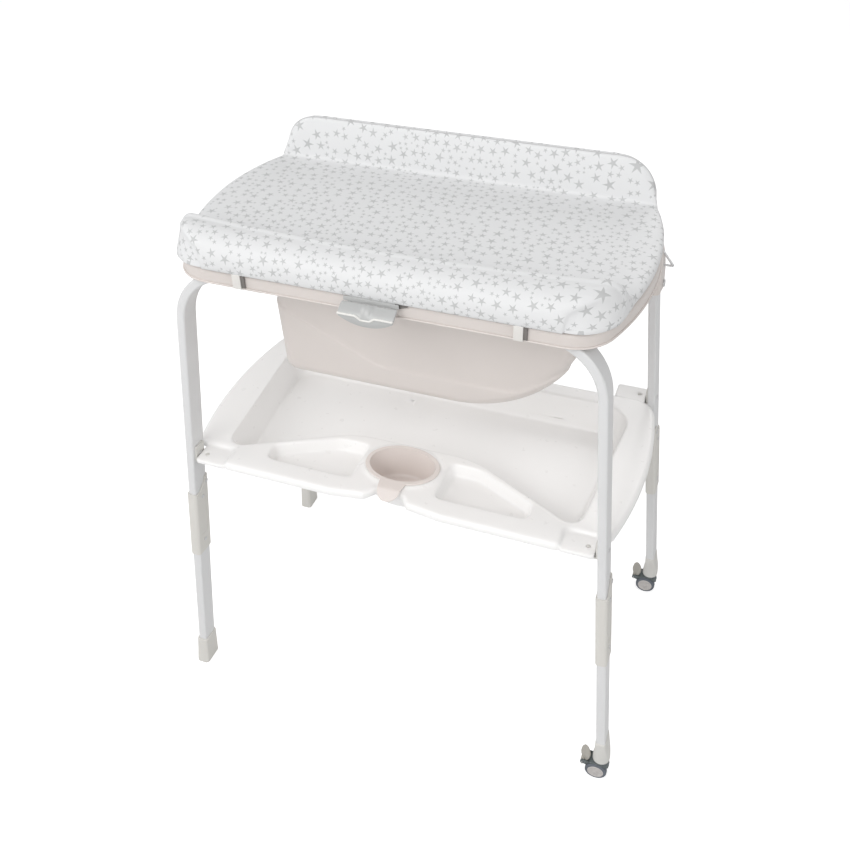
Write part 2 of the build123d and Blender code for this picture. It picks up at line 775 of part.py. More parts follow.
def trayOutline():
    front = tray_front_y
    leg = legPoint(1, -1, tray_top)
    lug_x = lugEdge()
    leg_front = leg.Y + upper_tube_depth / 2 + tray_leg_gap
    back = -leg.Y - upper_tube_depth / 2 - tray_leg_gap
    side_y = leg_front + tray_leg_gap
    turn = (notch_half_width + notch_flare, front + notch_lobe_rise)
    edges = []
    for side in (1, -1):
        spots = [
            (side * notch_half_width, notch_y),
            (side * turn[0], turn[1]),
            (side * notch_lobe_x, front),
            (side * tray_corner_x, front),
            (side * tray_corner_x, leg_front),
            (side * lug_x, leg_front),
            (side * tray_side_front, side_y),
        ]
        edges += Polyline(*spots).edges()
        edges += ThreePointArc(
            (side * tray_side_front, side_y),
            (side * tray_half_length, tray_widest_y),
            (side * tray_side_back, back),
        ).edges()
    edges += Line((-notch_half_width, notch_y), (notch_half_width, notch_y)).edges()
    edges += Line((-tray_side_back, back), (tray_side_back, back)).edges()
    face = make_face(edges)
    backs = [v for v in face.vertices() if v.Y > 0]
    face = fillet(backs, tray_back_corner)
    lobes = [v for v in face.vertices() if abs(abs(v.X) - notch_lobe_x) < touch_gap]
    face = fillet(lobes, notch_lobe_round)
    notches = [v for v in face.vertices() if abs(v.X) < notch_lobe_x / 2 and v.Y < 0]
    face = fillet(notches, notch_round)
    turns = [v for v in face.vertices() if abs(v.X) > tray_corner_x - lug_corner and v.Y < side_y / 2]
    turns = [v for v in turns if abs(v.X) < tray_half_length and v.Y < leg_front + 2 * tray_leg_gap]
    return fillet(turns, tray_front_corner)


def lugEdge():
    leg = legPoint(1, -1, tray_top)
    return leg.X - upper_tube_width / 2 - hanger_plate - 3 * touch_gap


def binOutline(inset):
    corners = [
        (bin_bend_x, bin_middle_y + inset),
        (bin_tip_x - inset, bin_tip_y + 1.3 * inset),
        (bin_side_x - inset, bin_back_y - inset),
    ]
    radii = [bin_bend_corner, bin_tip_corner - inset / 2, bin_back_corner - inset]
    middle = (0, bin_middle_y + inset)
    right = FilletPolyline(middle, *corners, (0, bin_back_y - inset), radius=radii)
    edges = right.edges() + mirror(right, Plane.YZ).edges()
    return make_face(edges)


def recessOutline(side, inset):
    corners = [
        (side * (recess_inner_x + inset), recess_front_y + inset),
        (side * (recess_outer_x - inset), recess_front_y + inset),
        (side * (recess_outer_x - inset), recess_outer_y - inset * 0.6),
        (side * (recess_bend_x - inset * 0.3), recess_back_y - inset),
        (side * (recess_inner_x + inset), recess_back_y - inset),
    ]
    tip = recess_tip_corner - inset / 2
    path = FilletPolyline(
        *corners,
        close=True,
        radius=[recess_corner, tip, tip, recess_bend_corner, recess_corner],
    )
    return make_face(path.edges())


def cupOval(inset):
    return Pos(0, cup_y) * Ellipse(cup_half_length - inset, cup_half_width - inset)


def tray():
    outline = trayOutline()
    base = tray_top - tray_skirt
    body = Pos(0, 0, base) * extrude(outline, tray_skirt)
    body = fillet(body.edges().group_by(Axis.Z)[-1], tray_rim_round)
    hollow = Pos(0, 0, base - overrun) * extrude(
        offset(outline, -tray_wall), tray_skirt + overrun - tray_wall
    )
    body -= fillet(hollow.edges().group_by(Axis.Z)[-1], tray_rim_round - tray_wall)
    floor = tray_top - bin_depth
    under = tray_top - tray_wall / 2
    skin_low = Pos(0, 0, floor) * binOutline(bin_flank - tray_wall)
    body += loft([skin_low, Pos(0, 0, under) * binOutline(-tray_wall)])
    for side in (-1, 1):
        low = Pos(0, 0, tray_top - recess_depth - tray_wall) * recessOutline(side, recess_flank - tray_wall)
        body += loft([low, Pos(0, 0, under) * recessOutline(side, -tray_wall)])
    well_wall = cup_flange - cup_clearance - tray_wall
    well_low = Pos(0, 0, floor) * cupOval(well_wall + cup_taper)
    body += loft([well_low, Pos(0, 0, under) * cupOval(well_wall)])
    collar = Pos(0, 0, under) * extrude(cupOval(-cup_collar), cup_collar_height + tray_wall / 2)
    collar = fillet(collar.edges().group_by(Axis.Z)[-1], cup_collar_height * 0.7)
    body += collar
    for side in (-1, 1):
        for end in (-1, 1):
            body += trayLug(side, end)
    low = Pos(0, 0, floor + tray_wall) * binOutline(bin_flank)
    cut = loft([low, Pos(0, 0, tray_top) * binOutline(0)])
    body -= cut + Pos(0, 0, tray_top) * extrude(binOutline(0), overrun)
    for side in (-1, 1):
        low = Pos(0, 0, tray_top - recess_depth) * recessOutline(side, recess_flank)
        cut = loft([low, Pos(0, 0, tray_top) * recessOutline(side, 0)])
        body -= cut + Pos(0, 0, tray_top) * extrude(recessOutline(side, 0), overrun)
    hole = cup_flange - cup_clearance
    low = Pos(0, 0, floor + tray_wall) * cupOval(hole + cup_taper)
    high = Pos(0, 0, tray_top + cup_collar_height) * cupOval(hole)
    return body - loft([low, high]) - extrude(high, overrun)


def trayLug(side, end):
    # Low shelf at each corner that hangs on the leg's bracket.
    base = tray_top - tray_skirt
    x = side * (lugEdge() - lug_reach / 2)
    y = end * (-tray_front_y - lug_length / 2)
    lug = Pos(x, y, base) * extrude(RectangleRounded(lug_reach, lug_length, lug_corner), lug_thickness)
    peg = pegPoint(side, end)
    hole = Pos(peg.X, peg.Y, base) * Cylinder(peg_radius + peg_clearance, 4 * lug_thickness)
    return lug - hole


def pegPoint(side, end):
    leg = legPoint(side, end, tray_top)
    return Vector(side * (lugEdge() - hanger_reach / 2), leg.Y, tray_top - tray_skirt - touch_gap)


def trayHanger(side, end):
    # Bracket screwed to the leg, with a shelf and a peg under the tray's lug.
    inner = legPlane(side, end, hanger_screw_height)
    shelf_top = tray_top - tray_skirt - touch_gap
    out = upper_tube_width / 2 + hanger_plate / 2
    drop = hanger_screw_height - (shelf_top - hanger_plate)
    plate = RectangleRounded(hanger_width, hanger_height, hanger_plate)
    plate = Rot(0, 90, 0) * extrude(Rot(0, 0, 90) * plate, hanger_plate / 2, both=True)
    plate = inner * Pos(-side * out, 0, hanger_height / 2 - drop) * plate
    peg = pegPoint(side, end)
    start = legPoint(side, end, shelf_top - hanger_plate).X - side * upper_tube_width / 2
    tip = peg.X - side * hanger_reach / 2
    shelf = Pos((start + tip) / 2 - side * touch_gap, peg.Y, shelf_top - hanger_plate) * Box(
        abs(start - tip) - 2 * touch_gap,
        hanger_width,
        hanger_plate,
        align=(Align.CENTER, Align.CENTER, Align.MIN),
    )
    pin = Pos(peg.X, peg.Y, shelf_top) * Cylinder(
        peg_radius, peg_height, align=(Align.CENTER, Align.CENTER, Align.MIN)
    )
    pin = fillet(pin.edges().group_by(Axis.Z)[-1], peg_radius / 3)
    body = plate + shelf + pin
    return drillForScrews(body, side, end, (hanger_screw_height,))


def hangerScrews():
    pieces = []
    grip = upper_tube_width + hanger_plate
    for side in (-1, 1):
        for end in (-1, 1):
            plane = legPlane(side, end, hanger_screw_height)
            pieces.append(screwAt(plane, (-side * hanger_plate / 2, 0, 0), grip))
    return pieces


def cup():
    flange_z = tray_top + cup_collar_height + touch_gap
    bottom = flange_z + cup_wall - cup_depth
    outer_low = Pos(0, 0, bottom) * cupOval(cup_flange + cup_taper)
    body = loft([outer_low, Pos(0, 0, flange_z) * cupOval(cup_flange)])
    body = fillet(body.edges().group_by(Axis.Z)[0], cup_base_round)
    flange = Pos(0, 0, flange_z) * extrude(cupOval(0), cup_wall)
    flange = fillet(flange.edges().group_by(Axis.Z)[-1], cup_wall * 0.6)
    body += flange + cupTab(flange_z)
    inner = loft(
        [
            Pos(0, 0, bottom + cup_wall) * cupOval(cup_flange + cup_taper + cup_wall),
            Pos(0, 0, flange_z + cup_wall) * cupOval(cup_flange + cup_wall),
        ]
    )
    inner = fillet(inner.edges().group_by(Axis.Z)[0], cup_base_round - cup_wall)
    return body - inner - Pos(0, 0, flange_z + cup_wall) * extrude(cupOval(cup_flange + cup_wall), overrun)


def cupTab(flange_z):
    # Tongue that bends over the tray's front edge, to lift the cup by.
    root = cup_y - cup_half_width + cup_flange
    end = tab_tip_y
    top = flange_z + cup_wall
    line = FilletPolyline(
        (root, top - cup_wall / 2),
        (notch_y, top - cup_wall / 2),
        (end, top - cup_wall / 2 - tab_droop),
        radius=tab_droop,
    )
    strip = trace(line, cup_wall)
    body = Plane.YZ * extrude(strip, tab_half_width, both=True)
    length = root - end
    mask = make_face(
        [
            Line((-tab_half_width, root), (-tab_half_width * 0.8, end + tab_half_width / 2)),
            ThreePointArc(
                (-tab_half_width * 0.8, end + tab_half_width / 2),
                (0, end),
                (tab_half_width * 0.8, end + tab_half_width / 2),
            ),
            Line((tab_half_width * 0.8, end + tab_half_width / 2), (tab_half_width, root)),
            Line((tab_half_width, root), (-tab_half_width, root)),
        ]
    )
    return body & Pos(0, 0, top - length) * extrude(mask, 2 * length)


def board():
    outline = bulgedOutline(
        rim_length - 2 * board_inset,
        rim_width - 2 * board_inset,
        rim_corner - board_inset,
        rim_end_bulge,
    )
    plate = Pos(0, 0, rim_top + touch_gap) * extrude(outline, board_thickness)
    return fillet(plate.edges().group_by(Axis.Z)[-1], board_thickness / 3)


def outlineHalfWidth(x):
    # Half the depth of the rim's outline at a place along the table.
    half = rim_width / 2
    radius = (half**2 + rim_end_bulge**2) / (2 * rim_end_bulge)
    arc_x = rim_length / 2 - radius
    corner_y = half - rim_corner
    corner_x = arc_x + math.sqrt((radius - rim_corner) ** 2 - corner_y**2)
    meet_x = arc_x + (corner_x - arc_x) * radius / (radius - rim_corner)
    if abs(x) <= corner_x:
        return half
    if abs(x) <= meet_x:
        return corner_y + math.sqrt(rim_corner**2 - (abs(x) - corner_x) ** 2)
    return math.sqrt(radius**2 - (abs(x) - arc_x) ** 2)


def matSection(x, wall_share, bolster_share, middle_share):
    # Cross-section of the mat: bottom, back, wall, sleeping surface and front bolster.
    half = outlineHalfWidth(x)
    share = 2 * half / rim_width
    base = rim_top + board_thickness + 2 * touch_gap
    middle = base + mat_middle_height * middle_share
    wall_top = base + mat_wall_height * wall_share
    crest = base + mat_bolster_height * bolster_share
    lip = mat_wall_round * min(1, wall_share * 1.9)
    swell = mat_swell * bolster_share
    front_low = (-half - mat_overhang, base)
    back_low = (half - mat_back_inset, base)
    wall_y = mat_wall_top_y * share
    wall_back = (wall_y + mat_wall_round * 0.9 * share, wall_top - lip)
    wall_front = (wall_y - mat_wall_round * 0.8 * share, wall_top - lip)
    back_out = (half - mat_back_inset * 0.7, (base * 2 + wall_back[1]) / 3)
    crease = (mat_crease_y * share, middle - mat_crease_depth * wall_share)
    inner = (mat_slope_y * share, middle - mat_crease_depth * bolster_share / 2)
    crest_in = ((mat_crest_y + mat_crest_half) * share, crest - mat_crown * bolster_share)
    crest_out = ((mat_crest_y - mat_crest_half) * share, crest - mat_crown * bolster_share)
    slope = (
        (inner[0] + crest_in[0]) / 2,
        (inner[1] + crest_in[1]) / 2 - (crest - middle) * 0.08,
    )
    edges = [
        Line(front_low, back_low),
        ThreePointArc(back_low, back_out, wall_back),
        ThreePointArc(wall_back, (wall_y, wall_top), wall_front),
        ThreePointArc(
            wall_front,
            ((wall_front[0] + crease[0]) / 2 - swell / 6, (wall_front[1] + crease[1]) / 2),
            crease,
        ),
        ThreePointArc(
            crease, ((crease[0] + inner[0]) / 2, middle + mat_crown * middle_share), inner
        ),
        ThreePointArc(inner, slope, crest_in),
        ThreePointArc(crest_in, (mat_crest_y * share, crest), crest_out),
        ThreePointArc(
            crest_out,
            (-half - mat_overhang - swell, base + (crest_out[1] - base) * 0.45),
            front_low,
        ),
    ]
    return Plane.YZ.offset(x) * make_face(edges)


def mat():
    rows_out = [(mat_half_length * place, shares) for place, *shares in mat_end_shares]
    sections = [matSection(-x, *shares) for x, shares in reversed(rows_out)]
    sections += [matSection(x, *shares) for x, shares in rows_out]
    return loft(sections, ruled=True)


def clip(x):
    # Strap that hangs over the band and keeps the mat's board in line.
    skirt = -rim_width / 2
    face = skirt - touch_gap - clip_wall
    top = rim_top + touch_gap + board_thickness
    edge = skirt + board_inset
    arm = Polyline(
        (edge, top),
        (face, top),
        (face, top - clip_drop),
        (face + clip_wall, top - clip_drop),
        (face + clip_wall, rim_top + touch_gap),
        (edge, rim_top + touch_gap),
        close=True,
    )
    body = Plane.YZ.offset(x) * extrude(make_face(arm), clip_width / 2, both=True)
    outer = [e for e in body.edges() if e.center().Y < face + clip_round / 2]
    return fillet(outer, clip_round)


def latchBracket():
    # Ears on the board's front edge that carry the latch's pin.
    edge = -rim_width / 2 + board_inset
    top = rim_top + touch_gap + board_thickness
    thick = board_thickness * 0.7
    reach = latch_pin_y - latch_knuckle_radius
    plate = Box(
        2 * latch_half_width * 0.8,
        edge - reach,
        thick,
        align=(Align.CENTER, Align.MIN, Align.MAX),
    )
    body = Pos(0, reach, top) * plate
    ear_face = make_hull(
        (Pos(latch_pin_y, latch_pin_z) * Circle(latch_knuckle_radius)).edges()
        + Line((reach, top), (latch_pin_y + latch_knuckle_radius, top)).edges()
    )
    for side in (-1, 1):
        x = side * (latch_half_width * 0.8 - latch_ear / 2)
        body += Plane.YZ.offset(x) * extrude(ear_face, latch_ear / 2, both=True)
    return body - Pos(0, latch_pin_y, latch_pin_z) * Rot(0, 90, 0) * Cylinder(
        latch_pin_radius, 4 * latch_half_width
    )


def latchPin():
    length = 2 * latch_half_width * 0.8
    return Pos(0, latch_pin_y, latch_pin_z) * Rot(0, 90, 0) * Cylinder(latch_pin_radius, length)


def latchPaddle():
    # Curved lever: a flat face, a raised rib that dips round a boss, and a turned-in lip.
    face = latch_face_y
    thick = latch_thickness
    rib = face - latch_rib_out
    profile = Polyline(
        (face, latch_top),
        (face - latch_rib_out * 0.3, latch_rib_z + thick),
        (rib, latch_rib_z + thick / 2),
        (rib, latch_rib_z - thick / 2),
        (face, latch_bottom),
        (face + thick * 0.6, latch_bottom),
        (face + thick * 0.4, latch_rib_z),
        (face + thick, latch_top),
        close=True,
    )
    body = Plane.YZ * extrude(make_face(profile), latch_half_width, both=True)
    width = latch_half_width
    mask = make_face(
        [
            Line((-width * 0.9, latch_top), (width * 0.9, latch_top)),
            Line((width * 0.9, latch_top), (width, latch_rib_z)),
            ThreePointArc((width, latch_rib_z), (0, latch_bottom), (-width, latch_rib_z)),
            Line((-width, latch_rib_z), (-width * 0.9, latch_top)),
        ]
    )
    body &= Plane.XZ.offset(-face) * extrude(mask, 4 * thick + 4 * latch_rib_out, both=True)
    height = latch_top - latch_rib_z
    boss = Pos(0, face + thick / 2, latch_rib_z + height * 0.3) * Rot(90, 0, 0) * Cylinder(
        latch_boss_radius, latch_boss_out + thick, align=(Align.CENTER, Align.CENTER, Align.MIN)
    )
    boss = fillet(boss.edges().group_by(Axis.Y)[0], latch_boss_out / 2)
    body += boss
    inner = latch_half_width * 0.8 - latch_ear - touch_gap
    knuckle = Pos(0, latch_pin_y, latch_pin_z) * Rot(0, 90, 0) * Cylinder(latch_knuckle_radius, 2 * inner)
    outer = inner + latch_ear + 2 * touch_gap
    for side in (-1, 1):
        slot = Box(
            outer - inner,
            6 * latch_knuckle_radius,
            latch_top - latch_pin_z + latch_knuckle_radius + touch_gap + overrun,
            align=(Align.CENTER, Align.CENTER, Align.MIN),
        )
        x = side * (inner + outer) / 2
        body -= Pos(x, latch_pin_y, latch_pin_z - latch_knuckle_radius - touch_gap) * slot
    body += knuckle
    return body - Pos(0, latch_pin_y, latch_pin_z) * Rot(0, 90, 0) * Cylinder(
        latch_pin_radius + running_fit, 4 * latch_half_width
    )


def hingeFixed(x):
    # Leaf on the back of the tub's band with the two outer knuckles.
    skirt = rim_width / 2
    third = hinge_width / 3
    low = rim_top - rim_round - hinge_leaf_height
    plate = Pos(x, skirt, low) * Box(
        hinge_width, hinge_leaf, hinge_leaf_height, align=(Align.CENTER, Align.MIN, Align.MIN)
    )
    top = rim_top - rim_round
    arm = make_hull(
        (Pos(hinge_y, hinge_z) * Circle(hinge_knuckle_radius)).edges()
        + Line((skirt, top), (skirt + hinge_leaf, top - hinge_leaf)).edges()
    )
    for side in (-1, 1):
        piece = Plane.YZ.offset(x + side * third) * extrude(
            arm, (third - hinge_side_gap) / 2, both=True
        )
        plate += piece
    return plate - Pos(x, hinge_y, hinge_z) * Rot(0, 90, 0) * Cylinder(hinge_pin_radius, 2 * hinge_width)


def hingeMoving(x):
    # Leaf on the board's back edge with the middle knuckle.
    edge = rim_width / 2 - board_inset
    third = hinge_width / 3
    low = rim_top + touch_gap
    arm = make_hull(
        (Pos(hinge_y, hinge_z) * Circle(hinge_knuckle_radius)).edges()
        + Line((edge, low), (edge, low + board_thickness * 0.8)).edges()
    )
    leaf = Plane.YZ.offset(x) * extrude(arm, (third - hinge_side_gap) / 2, both=True)
    hole = Cylinder(hinge_pin_radius + running_fit, 2 * hinge_width)
    return leaf - Pos(x, hinge_y, hinge_z) * Rot(0, 90, 0) * hole


def hingePin(x):
    return Pos(x, hinge_y, hinge_z) * Rot(0, 90, 0) * Cylinder(hinge_pin_radius, hinge_width)


names = {-1: "left", 1: "right"}
rows = {-1: "front", 1: "rear"}
pieces = {}
pieces["front_frame"] = drilledFrontFrame()
for side in (-1, 1):
    pieces[names[side] + "_rear_upper_leg"] = upperRearLeg(side)
    pieces[names[side] + "_pivot_pin"] = pivotPin(side)
    for end in (-1, 1):
        place = names[side] + "_" + rows[end]
        pieces[place + "_lower_leg"] = lowerLeg(side, end)
        pieces[place + "_coupler"] = coupler(side, end)
        pieces[place + "_tray_hanger"] = trayHanger(side, end)
pieces["leg_screws"] = couplerScrews()
pieces["hanger_screws"] = hangerScrews()
pieces["left_front_foot"] = footCap(-1, -1)
pieces["left_rear_foot"] = footCap(-1, 1)
for end in (-1, 1):
    row = rows[end]
    pieces[row + "_caster_socket"] = casterSocket(1, end)
    pieces[row + "_caster_hood"] = casterHood(1, end)
    pieces[row + "_caster_axle"] = axle(1, end)
    pieces[row + "_brake_pedal"] = brakePedal(1, end)
    pieces[row + "_pedal_pin"] = pedalPin(1, end)
    for face, label in ((-1, "outer"), (1, "inner")):
        pieces[row + "_" + label + "_wheel"] = wheel(1, end, face)
        pieces[row + "_" + label + "_hub_cap"] = hubCap(1, end, face)
pieces["tub"] = tub()
pieces["drain_plug"] = drainPlug()
pieces["wire_rail"] = wireBody(wire_radius)
pieces["bar_clamps"] = [barClamp(-clamp_x), barClamp(clamp_x)]
pieces["tray"] = tray()
pieces["cup"] = cup()
pieces["board"] = board()
pieces["mat"] = mat()
pieces["clips"] = [clip(-clip_x), clip(clip_x)]
pieces["hinge_leaves_fixed"] = [hingeFixed(-hinge_x), hingeFixed(hinge_x)]
pieces["hinge_leaves_moving"] = [hingeMoving(-hinge_x), hingeMoving(hinge_x)]
pieces["hinge_pins"] = [hingePin(-hinge_x), hingePin(hinge_x)]
pieces["latch_bracket"] = latchBracket()
pieces["latch_pin"] = latchPin()
pieces["latch_paddle"] = latchPaddle()

for name, shape in pieces.items():
    if isinstance(shape, list):
        shape = Compound(children=shape)
    export_step(shape, "parts/" + name + ".step")
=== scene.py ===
import json
import math

import bmesh
import bpy
from mathutils import Matrix, Vector


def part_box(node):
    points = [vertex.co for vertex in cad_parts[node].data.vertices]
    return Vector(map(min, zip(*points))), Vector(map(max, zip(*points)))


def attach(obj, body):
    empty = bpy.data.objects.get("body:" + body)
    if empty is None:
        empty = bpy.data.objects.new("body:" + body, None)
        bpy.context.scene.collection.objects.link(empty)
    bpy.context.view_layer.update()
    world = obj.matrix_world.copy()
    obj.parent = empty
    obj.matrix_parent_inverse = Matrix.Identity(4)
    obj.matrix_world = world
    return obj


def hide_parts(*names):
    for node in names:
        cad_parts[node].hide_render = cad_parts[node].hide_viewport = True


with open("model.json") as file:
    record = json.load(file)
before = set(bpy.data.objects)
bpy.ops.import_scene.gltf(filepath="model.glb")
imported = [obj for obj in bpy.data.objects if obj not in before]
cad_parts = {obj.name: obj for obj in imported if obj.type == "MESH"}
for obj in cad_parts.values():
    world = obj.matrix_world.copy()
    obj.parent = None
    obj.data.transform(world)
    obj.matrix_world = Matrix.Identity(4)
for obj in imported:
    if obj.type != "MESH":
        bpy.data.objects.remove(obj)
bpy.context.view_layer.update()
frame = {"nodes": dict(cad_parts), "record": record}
nodes = frame["nodes"]
mm = 0.001
legLeanX = -0.086 / 0.880      # how far a leg leans in for each metre that it rises
legLeanY = 0.062 / 0.880
print("frame loaded,", len(nodes), "pieces")


def addObject(name, data):
    piece = bpy.data.objects.new(name, data)
    bpy.context.collection.objects.link(piece)
    return piece


def pieceFromMesh(name, mesh):
    data = bpy.data.meshes.new(name)
    mesh.to_mesh(data)
    mesh.free()
    return addObject(name, data)


def newFinish(name):
    finish = bpy.data.materials.new(name)
    finish.use_nodes = True
    tree = finish.node_tree
    return finish, tree, tree.nodes["Principled BSDF"]


def setInputs(tree, node, inputs):
    # Gives each input its value, or joins it to another node's output.
    for name, value in inputs.items():
        if isinstance(value, bpy.types.NodeSocket):
            tree.links.new(value, node.inputs[name])
        else:
            node.inputs[name].default_value = value


def addNode(tree, kind, inputs, **settings):
    node = tree.nodes.new("ShaderNode" + kind)
    for name, value in settings.items():
        setattr(node, name, value)
    setInputs(tree, node, inputs)
    return node.outputs


def roundTurn(count):
    # Cosine and sine of each of some even steps once round.
    angles = [2 * math.pi * step / count for step in range(count)]
    return [(math.cos(angle), math.sin(angle)) for angle in angles]


cameraValues = {
    "place": (0.47668, -1.22123, 1.57776),
    "azimuth": 21.69,      # degrees round to the right of straight in front
    "elevation": 39.17,
    "roll": -1.87,
    "lens": 41.87,
}


def addCamera(values):
    azimuth = math.radians(values["azimuth"])
    elevation = math.radians(values["elevation"])
    roll = math.radians(values["roll"])
    back = Vector(
        (
            math.sin(azimuth) * math.cos(elevation),
            -math.cos(azimuth) * math.cos(elevation),
            math.sin(elevation),
        )
    )
    level = Vector((math.cos(azimuth), math.sin(azimuth), 0))
    upright = back.cross(level)
    right = math.cos(roll) * level + math.sin(roll) * upright
    up = -math.sin(roll) * level + math.cos(roll) * upright
    data = bpy.data.cameras.new("photoCamera")
    data.lens = values["lens"]
    data.sensor_width = 36
    data.clip_end = 60
    camera = addObject("photoCamera", data)
    turn = Matrix((right, up, back)).transposed().to_4x4()
    camera.matrix_world = Matrix.Translation(values["place"]) @ turn
    bpy.context.scene.camera = camera


addCamera(cameraValues)
print("camera placed")

studioValues = {
    "skyStrength": 0.50,       # light from all round, seen as plain white
    "lampTarget": (0, 0, 0.6),
    "lamps": {                 # place, size across and power of each lamp
        "keyLamp": ((-0.7, -2.3, 2.75), 2.2, 33.0),
        "frontLamp": ((0.3, -3.1, 1.55), 2.2, 14.0),
        "rightLamp": ((2.7, -0.9, 2.3), 2.0, 17.0),
        "leftLamp": ((-2.8, -0.7, 2.2), 2.0, 20.0),
        "backLamp": ((0.3, 2.8, 2.2), 2.0, 16.0),
    },
    "floorHalf": 14.0,
    "floorColour": (0.74, 0.74, 0.74),
    "floorLift": 0.60,         # how much whiter the floor shows than its shade
}


def whiteForCamera(tree, whiteStrength, otherStrength):
    path = addNode(tree, "LightPath", {})
    rays = {0: path["Is Camera Ray"], 1: path["Is Transmission Ray"]}
    seen = addNode(tree, "Math", rays, operation="MAXIMUM")[0]
    strengths = {"To Min": otherStrength, "To Max": whiteStrength, "Value": seen}
    return addNode(tree, "MapRange", strengths)["Result"]


def addLamp(name, place, size, power, target):
    data = bpy.data.lights.new(name, "AREA")
    data.shape = "DISK"
    data.size = size
    data.energy = power
    lamp = addObject(name, data)
    aim = Vector(target) - Vector(place)
    lamp.location = place
    lamp.rotation_euler = aim.to_track_quat("-Z", "Y").to_euler()


def addStudio(values):
    world = bpy.data.worlds.new("studio")
    world.use_nodes = True
    tree = world.node_tree
    strength = whiteForCamera(tree, 1.0, values["skyStrength"])
    sky = {"Color": (1, 1, 1, 1), "Strength": strength}
    setInputs(tree, tree.nodes["Background"], sky)
    bpy.context.scene.world = world
    for name, (place, size, power) in values["lamps"].items():
        addLamp(name, place, size, power, values["lampTarget"])

    half = values["floorHalf"]
    mesh = bpy.data.meshes.new("floor")
    corners = [(-half, -half, 0), (half, -half, 0), (half, half, 0), (-half, half, 0)]
    mesh.from_pydata(corners, [], [(0, 1, 2, 3)])
    floor = addObject("floor", mesh)
    finish, tree, shader = newFinish("paleFloor")
    looks = {
        "Base Color": (*values["floorColour"], 1),
        "Roughness": 0.9,
        "Specular IOR Level": 0.1,
        "Emission Color": (1, 1, 1, 1),
        "Emission Strength": whiteForCamera(tree, values["floorLift"], 0.0),
    }
    setInputs(tree, shader, looks)
    mesh.materials.append(finish)


addStudio(studioValues)
bpy.context.scene.view_settings.view_transform = "Standard"
print("studio lit")

# What a finish has unless its own values say otherwise.
plainMoulding = {
    "clouds": (14, 3),         # scale and detail of the slow drift of tone
    "drift": 0.98,             # its darker tone over its lighter one
    "scuffs": (60, 4),
    "scuffSpan": (0.03, 0.03),  # how far scuffs lower and raise the roughness
    "grain": 900,
    "depth": 0.05,
    "grainHeight": 0.4 * mm,
    "coat": 0.0,
    "coatRoughness": 0.12,
    "metal": 0.0,
}
plainMetal = {
    "clouds": (90, 3),
    "drift": 0.86,
    "scuffs": (400, 2),
    "scuffSpan": (0.06, 0.08),
    "grain": 1600,
    "depth": 0.06,
    "grainHeight": 0.2 * mm,
    "coat": 0.0,
    "coatRoughness": 0.03,
    "metal": 1.0,
}
mouldingValues = {
    "powderCoat": {"colour": (0.75, 0.752, 0.755), "roughness": 0.34, "coat": 0.15},
    "jointMoulding": {
        "colour": (0.713, 0.697, 0.659), "roughness": 0.5, "grain": 1400, "depth": 0.10,
    },
    "lightMoulding": {
        "colour": (0.70, 0.69, 0.66), "roughness": 0.48, "grain": 1400, "depth": 0.10,
    },
    "tubMoulding": {
        "colour": (0.726, 0.671, 0.638), "roughness": 0.36, "grain": 700, "coat": 0.15,
    },
    "trayMoulding": {
        "colour": (0.97, 0.962, 0.953),
        "roughness": 0.30, "grain": 700, "depth": 0.015, "coat": 0.25, "drift": 0.993,
    },
    "cupMoulding": {"colour": (0.83, 0.765, 0.73), "roughness": 0.42, "coat": 0.1},
    "boardMoulding": {"colour": (0.78, 0.76, 0.73), "roughness": 0.55, "depth": 0.10},
    "piping": {"colour": (0.60, 0.60, 0.60), "roughness": 0.55, "depth": 0.10},
    "latchMoulding": {
        "colour": (0.50, 0.505, 0.50), "roughness": 0.32, "depth": 0.04, "coat": 0.3,
    },
    # Painted highlight: the raised rib is real, but its much lighter colour than the paddle
    # stands for the gleam along its edge.
    "latchRibHighlight": {
        "colour": (0.83, 0.82, 0.79), "roughness": 0.28, "depth": 0.02, "coat": 0.3,
    },
    # clipShade is painted shade: a near-black colour for sheets that stand for the shadow
    # in the gaps beside the clips and the latch.
    "clipShade": {"colour": (0.20, 0.185, 0.175), "roughness": 0.6},
    "hoodMoulding": {
        "colour": (0.135, 0.155, 0.16), "roughness": 0.46, "depth": 0.06, "coat": 0.05,
    },
    "pedalMoulding": {"colour": (0.43, 0.41, 0.37), "roughness": 0.48, "depth": 0.08},
    "hubMoulding": {
        "colour": (0.58, 0.55, 0.535), "roughness": 0.4, "depth": 0.04, "coat": 0.1,
    },
    "tyreRubber": {
        "colour": (0.13, 0.145, 0.17), "roughness": 0.62, "grain": 1200, "depth": 0.16,
    },
    "plugRubber": {
        "colour": (0.30, 0.29, 0.28), "roughness": 0.66, "grain": 1200, "depth": 0.14,
    },
    "hingePaint": {"colour": (0.72, 0.72, 0.71), "roughness": 0.4, "coat": 0.1},
}
metalValues = {
    "pinSteel": {"colour": (0.74, 0.74, 0.74), "roughness": 0.38},
    "wirePlating": {"colour": (0.78, 0.78, 0.79), "roughness": 0.34},
}


def noiseNode(tree, place, scale, detail=2.0):
    inputs = {"Scale": scale, "Detail": detail, "Vector": place}
    return addNode(tree, "TexNoise", inputs)["Fac"]


def mapped(tree, value, low, high):
    span = {"From Min": 0.3, "From Max": 0.7, "To Min": low, "To Max": high}
    return addNode(tree, "MapRange", {"Value": value, **span})["Result"]


def mixedColour(tree, amount, first, second):
    inputs = {"A": (*first, 1), "B": (*second, 1), "Factor": amount}
    return addNode(tree, "Mix", inputs, data_type="RGBA")["Result"]


def bumped(tree, height, strength, distance, under=None):
    inputs = {"Height": height, "Strength": strength, "Distance": distance}
    if under is not None:
        inputs["Normal"] = under
    return addNode(tree, "Bump", inputs)["Normal"]


